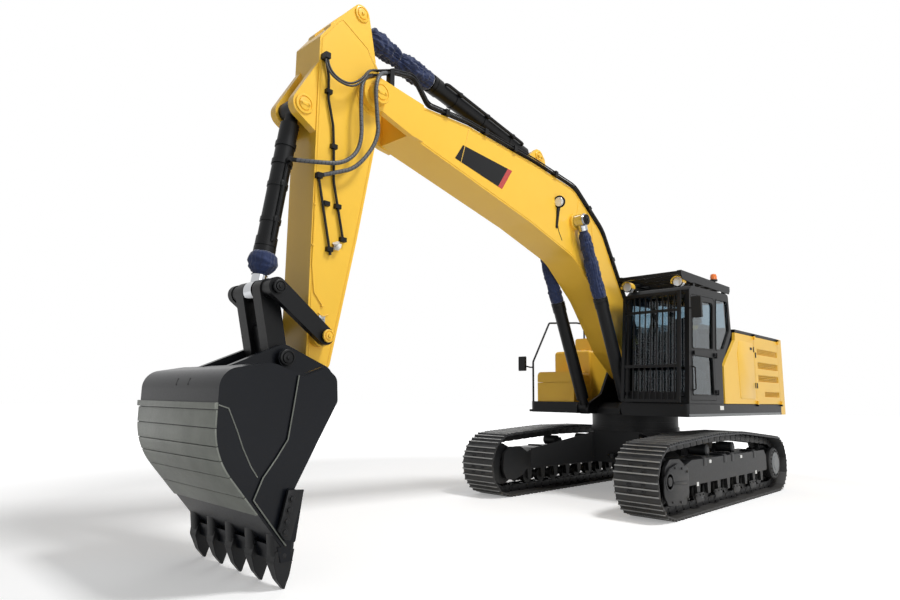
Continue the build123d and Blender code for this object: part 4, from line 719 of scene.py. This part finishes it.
sideCutter = {"edge": [(6985, 752), (7088, 384), (7140, 392), (7196, 470), (7128, 760)], "thick": (772, 800),
              "bolts": ((7098, 692), (7116, 610), (7134, 528), (7146, 452)), "boltOut": (796, 820),
              "boltRadius": 23, "washerOut": (796, 804), "washerRadius": 32}
cutters = [plate(sideCutter["edge"], *sideCutter["thick"], bevel=5),
           *bolts(sideCutter["bolts"], *sideCutter["boltOut"], sideCutter["boltRadius"], 2)]
low, high = sideCutter["washerOut"]
cutters += [bar((x, low, z), (x, high, z), sideCutter["washerRadius"], 24, 1) for x, z in sideCutter["bolts"]]
assemble("bucket_side_cutters", toothSteel, "bucket", mirrored(cutters))

# each claw: an adapter on the lip, a point that narrows towards its tip, and the pin through both
clawSettings = {"adapter": [(7004, 356), (7018, 366), (7172, 470, 16), (7206, 430, 20), (7182, 236, 40),
                            (7014, 236, 20)], "adapterHalf": 58,
                "point": [(7010, 300), (7176, 300), (7186, 215, 60), (7132, 80, 80), (7066, 1, 5),
                          (7052, 1, 5), (7026, 110, 80)], "pointHalf": 66, "tipWidth": 0.34,
                "fullWidthOver": 0.24, "pin": (7098, 262), "pinHalf": 68, "pinRadius": 17, "edge": 0.007,
                "pitch": 0.337, "eachSide": 2}
adapter = plate(clawSettings["adapter"], -clawSettings["adapterHalf"], clawSettings["adapterHalf"], bevel=16)
claw = plate(clawSettings["point"], -clawSettings["pointHalf"], clawSettings["pointHalf"], bevel=0)
for vertex in claw.data.vertices:
    tip = clawSettings["tipWidth"]
    vertex.co.y *= min(1, tip + (1 - tip) * vertex.co.z / clawSettings["fullWidthOver"])
edge = claw.modifiers.new("edge", "BEVEL")
edge.width, edge.segments = clawSettings["edge"], edgeLook["segments"]
fresh()
claw.select_set(True)
bpy.context.view_layer.objects.active = claw
bpy.ops.object.modifier_apply(modifier="edge")
(x, z), half = clawSettings["pin"], clawSettings["pinHalf"]
pin = bar((x, -half, z), (x, half, z), clawSettings["pinRadius"], 16, 3)
spread = range(-clawSettings["eachSide"], clawSettings["eachSide"] + 1)
claws = [moved(piece, Matrix.Translation((0, n * clawSettings["pitch"], 0))) for n in spread
         for piece in (adapter, claw, pin)]
for piece in (adapter, claw, pin):
    bpy.data.objects.remove(piece)
assemble("bucket_claws", toothSteel, "bucket", claws, "bucket_teeth")

print("pins")
# place (x, z), y of the face and ring radius; one keeper bolt, or a keeper bar between two
pinCaps = {
    "boom_tip_pin_caps": {"body": "boom", "place": (5980, 4640), "face": 356, "ring": 118, "keeper": "bar"},
    "arm_cylinder_base_caps": {"body": "boom", "place": (2900, 4900), "face": 168, "ring": 84,
                               "keeper": "bar"},
    "arm_cylinder_eye_caps": {"body": "arm", "place": (6150, 5530), "face": 200, "ring": 92,
                              "keeper": "bolt"},
    "bucket_cylinder_base_caps": {"body": "arm", "place": (6800, 4270), "face": 204, "ring": 100,
                                  "keeper": "bar"},
    "boom_cylinder_pin_caps": {"body": "boom_rods", "place": (2160, 4080), "face": 468, "ring": 78,
                               "keeper": "bolt"},
    "rocker_pin_caps": {"body": "arm", "place": (6540, 2030), "face": 399, "ring": 60, "keeper": "bolt"},
    "link_pin_caps": {"body": "link", "place": (7070, 2420), "face": 397, "ring": 60, "keeper": "bolt"},
    "bucket_link_pin_caps": {"body": "bucket", "place": (6930, 1810), "face": 354, "ring": 74,
                             "keeper": "bolt"},
    "bucket_pin_caps": {"body": "bucket", "place": (6535, 1630), "face": 354, "ring": 70, "keeper": "bolt"}}
for name, cap in pinCaps.items():
    (x, z), y, ring = cap["place"], cap["face"], cap["ring"]
    # raised rim, groove, then the pin's own end
    profile = ((0, ring), (16, ring), (20, ring - 5), (21, ring * 0.78), (12, ring * 0.76), (12, ring * 0.66),
               (24, ring * 0.62), (26, ring * 0.5))
    pieces = [turned((x, y - 4, z), (x, y + 90, z), profile)]
    if cap["keeper"] == "bolt":
        pieces += bolts([(x, z)], y + 16, y + 34, 20, 2)
    else:
        reach = ring * 0.6
        keeperEdge = [(x - reach, z - 18, 16), (x + reach, z - 18, 16), (x + reach, z + 18, 16),
                      (x - reach, z + 18, 16)]
        pieces.append(plate(keeperEdge, y + 16, y + 28, bevel=2))
        pieces += bolts([(x - ring * 0.4, z), (x + ring * 0.4, z)], y + 26, y + 38, 13)
    paint = blackEnamel if cap["body"] in ("boom_rods", "link", "bucket") else yellowEnamel
    assemble(name, paint, cap["body"], mirrored(pieces))

print("boom and arm")
# side plates' edges (x, z, corner radius), and how far in and how thick the beads along them lie
boxSeams = {
    "boom": {"side": 255, "inward": 26, "radius": 6,
             "edge": [(5480, 4365, 0), (4760, 4200, 300), (3250, 3850, 900), (2180, 3540, 700),
                      (1510, 3020, 700), (840, 2250, 300), (250, 1840, 60), (-20, 1920, 60), (60, 2090, 40),
                      (900, 3330, 500), (1400, 4090, 700), (2150, 4590, 500), (3100, 4700, 0),
                      (4500, 4800, 400), (5480, 4765, 0)]},
    "arm": {"side": 215, "inward": 26, "radius": 6,
            "edge": [(6650, 1720, 60), (6665, 5040, 30), (6420, 5380, 60), (6050, 5180, 40),
                     (5860, 4900, 120), (5840, 4560, 160), (6110, 3080, 0), (6390, 1740, 60)]}}


# bead just inside an outline, or outside it where inward is negative
def seam(rows, inward, y, radius):
    points = rounded(rows)
    if sum(a.x * b.y - b.x * a.y for a, b in zip(points, points[1:] + points[:1])) > 0:
        inward = -inward
    line = []
    for n, point in enumerate(points):
        run = points[(n + 1) % len(points)] - points[n - 1]
        side = Vector((run.y, -run.x)).normalized()
        line.append((point.x + side.x * inward, y, point.y + side.y * inward))
    return bead([*line, line[0]], radius)


for body, box in boxSeams.items():
    line = seam(box["edge"], box["inward"], box["side"], box["radius"])
    assemble(f"{body}_weld_seams", yellowEnamel, body, mirrored([line]))
plateJoints = {"side": 256, "radius": 5, "lines": (((2010, 4480), (2240, 3580)), ((1700, 4270), (1480, 3020)),
                                                   ((4480, 4780), (4660, 4190)))}
joints = [bead([(x, plateJoints["side"], z) for x, z in line], plateJoints["radius"])
          for line in plateJoints["lines"]]
assemble("boom_plate_joints", yellowEnamel, "boom", mirrored(joints))

# plain dark field on the left side only, with a red end
banner = {"field": [(4594, 4524), (3633, 4461), (3843, 4159), (4732, 4317)], "fieldY": (254, 258),
          "end": [(3725, 4467), (3633, 4461), (3843, 4159), (3925, 4173)], "endY": (255, 259)}
assemble("boom_blank_banner", blackEnamel, "boom", [plate(banner["field"], *banner["fieldY"], bevel=0)])
assemble("boom_banner_end", redLens, "boom", [plate(banner["end"], *banner["endY"], bevel=0)])

boomLamp = {"cup": ((2568, 300, 4286), (2700, 330, 4250)),
            "cupProfile": ((0, 60), (30, 84), (52, 88), (60, 80), (62, 70)),
            "lensProfile": ((0, 66), (6, 62), (9, 40)), "lens": ((2625, 313, 4270), (2757, 343, 4234)),
            "bracket": [(2530, 4210), (2600, 4220), (2640, 3900), (2600, 3890)],
            "bracketOut": (256, 268), "stem": ((2568, 262, 4250), (2568, 306, 4280)), "stemRadius": 18,
            "wire": [(2560, 300, 4240), (2580, 275, 4120), (2600, 262, 3980), (2560, 258, 3860),
                     (2480, 258, 3740)]}
lampPieces = [turned(*boomLamp["cup"], boomLamp["cupProfile"]),
              plate(boomLamp["bracket"], *boomLamp["bracketOut"]),
              bar(*boomLamp["stem"], boomLamp["stemRadius"])]
assemble("boom_lamp", blackEnamel, "boom", lampPieces)
lens = turned(*boomLamp["lens"], boomLamp["lensProfile"])
assemble("boom_lamp_lens", lensGlass, "boom", [lens])
assemble("boom_lamp_wire", hoseRubber, "boom", [bead(boomLamp["wire"], 5)])

greaseLines = {"radius": 6, "long": [(6640, 218, 3600), (6638, 222, 3500), (6636, 222, 2700),
                                     (6600, 222, 2450), (6500, 222, 2330)],
               "short": [(6540, 219, 2260), (6497, 222, 2230), (6430, 222, 2250)],
               "clips": ((6637, 3300), (6637, 2900), (6500, 2330))}
greasePipes = [bead(greaseLines[line], greaseLines["radius"]) for line in ("long", "short")]
greasePipes += [block((x - 14, x + 14), (214, 232), (z - 9, z + 9), 2) for x, z in greaseLines["clips"]]
assemble("arm_grease_pipes", yellowEnamel, "arm", greasePipes)
junction = {"x": (6462, 6532), "y": (214, 224), "z": (2170, 2240), "nipples": [(6480, 2205), (6515, 2205)]}
greasePlate = [block(junction["x"], junction["y"], junction["z"], 2),
               *bolts(junction["nipples"], 222, 236, 10, 0)]
assemble("arm_grease_plate", zincSteel, "arm", greasePlate)

wrapping = {"ends": ((6355, 232, 2905), (6395, 250, 2960)), "crumple": 0.012, "perMetre": 28,
            "stations": ((0, 22), (10, 40), (26, 48), (40, 42), (52, 22), (60, 30), (70, 34)),
            "seed": 1795361150}
whiteRag = turned(*wrapping["ends"], wrapping["stations"], 20)
noise.seed_set(wrapping["seed"])  # the crumple comes out the same on each run
for vertex in whiteRag.data.vertices:
    vertex.co += noise.noise_vector(vertex.co * wrapping["perMetre"]) * wrapping["crumple"]
assemble("arm_pipe_wrapping", whiteCloth, "arm", [whiteRag])

print("cylinders")
# a pipe beside each barrel: offset across and up, start and end along it, bands that hold it
barrelPipes = {
    "arm_cylinder_pipe": {"body": "arm_barrel", "base": (2900, 4900), "eye": (6150, 5530), "side": 132,
                          "lift": 40, "run": (330, 1900), "radius": 19, "bands": (560, 1100, 1640),
                          "barrel": 105},
    "bucket_cylinder_pipe": {"body": "bucket_barrel", "base": (6800, 4270), "eye": (7070, 2420), "side": 112,
                             "lift": 0, "run": (620, 1400), "radius": 17, "bands": (820, 1180), "barrel": 92}}
for name, pipe in barrelPipes.items():
    base, eye = at(pipe["base"][0], 0, pipe["base"][1]), at(pipe["eye"][0], 0, pipe["eye"][1])
    way = (eye - base).normalized()

    # machine point at a distance along the barrel, y to the side and lifted across it
    def alongBarrel(distance, side, lift):
        place = base + way * distance / 1000 + Vector((-way.z, 0, way.x)) * lift / 1000
        return ((place.x - frameShift) * 1000, side, place.z * 1000)

    first, last = pipe["run"]
    side, lift, reach = pipe["side"], pipe["lift"], pipe["barrel"]
    inWall = reach * 0.96  # the pipe's ends stop inside the barrel's wall
    line = [(first, inWall), (first + 10, side - 8), (first + 40, side), (last - 40, side),
            (last - 10, side - 8), (last, inWall)]
    pieces = [bead([alongBarrel(distance, y, lift) for distance, y in line], pipe["radius"], 16)]
    ring = ((0, reach - 1), (0.5, reach + 7), (44, reach + 7), (44.5, reach - 1))
    for band in pipe["bands"]:
        ends = [alongBarrel(band + dx, 0, 0) for dx in (-22, 22)]
        pieces.append(turned(*ends, ring, 48, capped=False))
        middle = alongBarrel(band, side - 12, lift)
        pieces.append(block(*[(c - size, c + size) for c, size in zip(middle, (26, 24, 26))], 4))
    assemble(name, blackEnamel, pipe["body"], pieces)

print("undercarriage")
idlerGuard = {"edge": [(2040, 640, 120), (2215, 520, 60), (2225, 330, 80), (2120, 190, 60), (1600, 150, 40),
                       (1490, 300, 30), (1490, 620, 60), (1800, 690, 60)],
              "hub": ((0, 120), (10, 118), (12, 96), (4, 94), (4, 60), (14, 56), (16, 30)),
              "rib": [(1560, 400), (1960, 440), (1960, 470), (1560, 450)],
              "bolts": ((1540, 570), (1540, 220), (1700, 620), (1760, 200), (1900, 640), (2000, 220))}
rollerGuards = {"places": (-1000, -300, 420, 1080), "bolts": (-110, 0, 110)}
frameSteps = {"places": (-1100, -150, 150, 900), "treadHalf": 60, "bracketHalf": 50}
finalDrive = {"place": (-2035, 458), "boltCircle": 205, "boltCount": 16,
              "cover": ((0, 182), (14, 180), (18, 170), (18, 120), (24, 116), (26, 60))}
sideParts = [plate(idlerGuard["edge"], 1508, 1530, bevel=5),
             turned((2065, 1526, 480), (2065, 1600, 480), idlerGuard["hub"]),
             plate(idlerGuard["rib"], 1528, 1544, bevel=4), *bolts(idlerGuard["bolts"], 1526, 1542, 16)]
for x in rollerGuards["places"]:
    guardEdge = [(x - 150, 250, 20), (x + 150, 250, 20), (x + 120, 128, 30), (x - 120, 128, 30)]
    sideParts.append(plate(guardEdge, 1486, 1500))
    sideParts += bolts([(x + dx, 225) for dx in rollerGuards["bolts"]], 1498, 1510, 13)
for x in frameSteps["places"]:
    tread, bracket = [(x - frameSteps[half], x + frameSteps[half]) for half in ("treadHalf", "bracketHalf")]
    sideParts.append(block(tread, (1300, 1500), (700, 722), 4))
    sideParts.append(block(bracket, (1440, 1516), (600, 712), 4))
x, z = finalDrive["place"]
reach, count = finalDrive["boltCircle"], finalDrive["boltCount"]
turns = [k * 2 * pi / count for k in range(count)]
circle = [(x + reach * cos(turn), z + reach * sin(turn)) for turn in turns]
sideParts += bolts(circle, 1530, 1546, 14)
assemble("track_frame_fittings", charcoalEnamel, "undercarriage", mirrored(sideParts))
driveCover = turned((x, 1528, z), (x, 1600, z), finalDrive["cover"])
assemble("final_drive_covers", greyEnamel, "undercarriage", mirrored([driveCover]))
blankPlates = {"low": ((1166, 376), (-1130, 370)), "high": ((715, 650), (-500, 650))}
labels = [block((x - 32, x + 32), (1509, 1512.5), (z - 26, z + 26), 0) for x, z in blankPlates["low"]]
labels += [block((x - 34, x + 34), (1498, 1519), (z - 22, z + 22), 2) for x, z in blankPlates["high"]]
assemble("track_frame_blank_plates", whitePaint, "undercarriage", mirrored(labels))

print("upper structure")
deckLip = {"rear": -2640, "leftFront": 1300, "rightFront": 920, "out": (1489, 1497), "high": (1272, 1312)}
low, high = deckLip["out"]
left = block((deckLip["rear"], deckLip["leftFront"]), (low, high), deckLip["high"], 2)
assemble("deck_lip", greyEnamel, "house", [left])
right = block((deckLip["rear"], deckLip["rightFront"]), (-high, -low), deckLip["high"], 2)
assemble("deck_lip_right", greyEnamel, "house", [right])
deckPlate = {"x": (40, 180), "y": (1489, 1493), "z": (1365, 1425)}
assemble("deck_blank_plate", whitePaint, "house", [block(*deckPlate.values(), 0)])

# back and front ends of the louvres, (low, high) of each row, slats in a row; the lowest row is shorter
louvres = {"span": (-2652, -1598), "rows": ((2300, 2400), (2060, 2170), (1840, 1950), (1580, 1670)),
           "slats": 4, "shortUnder": 1600, "shorter": 290,
           "slat": ((1462, -9), (1466, -12), (1488, 6), (1486, 10)),
           "back": (1459, 1463)}
latches = {"x": (-1530, -1490), "out": (1489, 1499), "lows": (1720, 2240), "height": 90}
for name, sign in (("left_rear_door", 1), ("right_rear_door", -1)):
    slats, shadeSheets = [], []
    rear = louvres["span"][0]
    for low, high in louvres["rows"]:
        front = louvres["span"][1] - (louvres["shorter"] if low < louvres["shortUnder"] else 0)
        # a thin black sheet at the back of each row of slats: painted shade for the dark seen through the
        # vent openings
        shadeSheets.append(block((rear, front), sorted(sign * y for y in louvres["back"]), (low, high), 0))
        step = (high - low) / louvres["slats"]
        for k in range(louvres["slats"]):
            z = low + step * (k + 0.5)
            rows = [(sign * y, z + dz) for y, dz in louvres["slat"]]
            slats.append(plate(rows, rear + 2, front - 2, "yz", bevel=0))
    assemble(f"{name}_louvres", yellowEnamel, name, slats)
    # the sheets behind the slats are painted shade, in the matt black plastic
    assemble(f"{name}_vent_painted_shade", blackPlastic, name, shadeSheets)
    out = sorted(sign * y for y in latches["out"])
    pulls = [block(latches["x"], out, (z, z + latches["height"]), 4) for z in latches["lows"]]
    assemble(f"{name}_latches", blackPlastic, name, pulls)

frontDoor = {"panel": [(-1400, 1540, 40), (-700, 1540, 40), (-660, 2280, 60), (-760, 2480, 60),
                       (-1400, 2480, 40)],
             "latches": {"x": (-1445, -1415), "lows": (1720, 2330)}}
assemble("front_door_panel", yellowEnamel, "left_front_door", [plate(frontDoor["panel"], 1489, 1495)])
pulls = [block(frontDoor["latches"]["x"], latches["out"], (z, z + latches["height"]), 4)
         for z in frontDoor["latches"]["lows"]]
assemble("front_door_latches", blackPlastic, "left_front_door", pulls)
sideVent = {"x": (-1340, -1240), "y": (1494, 1499), "z": (2360, 2400)}
assemble("side_vent", blackPlastic, "left_front_door", [block(*sideVent.values(), 2)])

# hoods are arches of 15 steps, outside and inside half axes across and up
cabLamps = {"sides": (591, 1379), "height": 3190, "hoodMiddle": 3186, "outside": (92, 84), "inside": (80, 72),
            "hoodX": (1150, 1262), "rim": ((0, 70), (1, 78), (12, 78), (13, 66), (6, 64), (6, 50), (8, 48)),
            "lens": ((0, 66), (3, 66), (7, 40))}
hoods, rims, lenses = [], [], []
z = cabLamps["height"]
for y in cabLamps["sides"]:
    outside, inside = [[(y + across * cos(k * pi / 12), cabLamps["hoodMiddle"] + up * sin(k * pi / 12))
                        for k in range(-1, 14)] for across, up in (cabLamps["outside"], cabLamps["inside"])]
    hoods.append(plate([*outside, *reversed(inside)], *cabLamps["hoodX"], "yz", bevel=0))
    rims.append(turned((1216, y, z), (1300, y, z), cabLamps["rim"]))
    lenses.append(turned((1228, y, z), (1300, y, z), cabLamps["lens"]))
assemble("lamp_hoods", yellowEnamel, "house", hoods)
assemble("lamp_rims", blackPlastic, "house", rims)
assemble("lamp_lenses", lensGlass, "house", lenses)

# stand as (low, high, radius, sides, bevel) of each step up
beacon = {"x": -250, "y": 1330, "stand": ((3322, 3350, 72, 32, 4), (3345, 3412, 24, 20, 0),
                                          (3408, 3436, 60, 32, 4)),
          "dome": (3434, 3530), "profile": ((0, 54), (60, 52), (84, 44), (94, 28), (96, 8))}
x, y = beacon["x"], beacon["y"]
stand = [bar((x, y, low), (x, y, high), *size) for low, high, *size in beacon["stand"]]
assemble("beacon_stand", blackPlastic, "house", stand)
dome = turned(*[(x, y, z) for z in beacon["dome"]], beacon["profile"])
assemble("beacon_dome", amberLens, "house", [dome], "beacon")
mirrorPanes = {"left": ((1157, 1160), (1560, 1680), (2665, 2945)),
               "right": ((922, 925), (-1680, -1560), (1988, 2218))}
panes = [block(*pane, 0) for pane in mirrorPanes.values()]
assemble("mirror_glasses", mirrorGlass, "house", panes)

# pane outlines (x, z, corner radius) that a rubber cord follows 4 mm outside
gaskets = {"out": 4, "y": 1484, "radius": 11,
           "door": ([(1075, 2240, 30), (1005, 2945, 60), (260, 2975, 60), (350, 2260, 30)],
                    [(1125, 1580, 30), (1090, 2140, 30), (370, 2140, 30), (370, 1580, 30)]),
           "rear": [(120, 3050, 50), (-330, 3070, 60), (-345, 2600, 60), (-60, 2290, 40), (215, 2260, 20)]}
doorCords = [seam(pane, -gaskets["out"], gaskets["y"], gaskets["radius"]) for pane in gaskets["door"]]
assemble("door_gaskets", blackPlastic, "cab_door", doorCords)
rearCord = seam(gaskets["rear"], -gaskets["out"], gaskets["y"], gaskets["radius"])
assemble("rear_pane_gasket", blackPlastic, "house", [rearCord])
cabHandle = {"radius": 11, "line": [(1110, 1484, 1640), (1120, 1530, 1660), (1120, 1530, 1960),
                                    (1110, 1484, 1980)]}
assemble("door_handle", blackPlastic, "cab_door", [bead(cabHandle["line"], cabHandle["radius"])])
wiper = {"arm": [(1195, 900, 2420), (1225, 905, 2440), (1180, 990, 2900)],
         "blade": ((1176, 930, 2900), (1206, 1050, 2540))}
assemble("front_wiper", blackPlastic, "house", [bead(wiper["arm"], 8), bar(*wiper["blade"], 9)])
hoodCap = {"x": (-1010, -915), "y": (480, 760), "z": (2700, 2800)}
assemble("hood_cap", yellowEnamel, "hood", [block(*hoodCap.values(), 20)])
hoodHandle = {"x": (-1250, -1650), "y": 560, "z": (2820, 2880), "radius": 12}
(front, rear), y, (low, high) = hoodHandle["x"], hoodHandle["y"], hoodHandle["z"]
handle = bead([(front, y, low), (front, y, high), (rear, y, high), (rear, y, low)], hoodHandle["radius"])
assemble("hood_handles", blackEnamel, "hood", mirrored([handle]))

print("tail")
# the counterweight's back is an arc about (middle, 0) with this radius; turns in degrees off straight back
tail = {"middle": -807, "radius": 2643, "seams": (1830, 2330), "seamTurn": 31, "seamRadius": 6,
        "lampTurn": 22, "lampHeight": 1560, "rim": ((0, 84), (14, 84), (18, 78), (18, 66)),
        "lens": ((16, 66), (24, 62), (28, 40))}
seams = []
for z in tail["seams"]:
    reach = tail["radius"] - 1
    turns = [radians(-tail["seamTurn"] + 2 * tail["seamTurn"] * k / 30) for k in range(31)]
    seams.append(bead([(tail["middle"] - reach * cos(turn), reach * sin(turn), z) for turn in turns],
                      tail["seamRadius"]))
assemble("counterweight_seams", yellowEnamel, "house", seams)
lampRims, lampFaces = [], []
for sign in (-1, 1):
    turn = radians(sign * tail["lampTurn"])
    spots = [(tail["middle"] - reach * cos(turn), reach * sin(turn), tail["lampHeight"])
             for reach in (tail["radius"] - 4, tail["radius"] + 90)]
    lampRims.append(turned(*spots, tail["rim"]))
    lampFaces.append(turned(*spots, tail["lens"]))
assemble("tail_lamp_rims", blackPlastic, "house", lampRims)
assemble("tail_lamp_lenses", redLens, "house", lampFaces)
hoodRibs = {"x": (-2560, -1020), "sides": (-440, 0, 440), "half": 26, "z": (2856, 2866)}
(rear, front), half = hoodRibs["x"], hoodRibs["half"]
ribs = [plate([(rear, y - half, 10), (front, y - half, 10), (front, y + half, 10), (rear, y + half, 10)],
              *hoodRibs["z"], "xy", 4) for y in hoodRibs["sides"]]
assemble("hood_ribs", blackPlastic, "hood", ribs)
# air intake's cap, and the exhaust
hoodStacks = {
    "intake": {"x": -1260, "y": 520, "low": 2790,
               "profile": ((0, 120), (90, 120), (92, 168), (150, 172), (190, 150), (206, 90))},
    "exhaust": {"x": -2150, "y": -420, "low": 2800, "profile": ((0, 84), (130, 84), (134, 70), (190, 70))}}
stacks = [turned((stack["x"], stack["y"], stack["low"]), (stack["x"], stack["y"], 3100), stack["profile"])
          for stack in hoodStacks.values()]
assemble("hood_intake", blackPlastic, "hood", stacks)
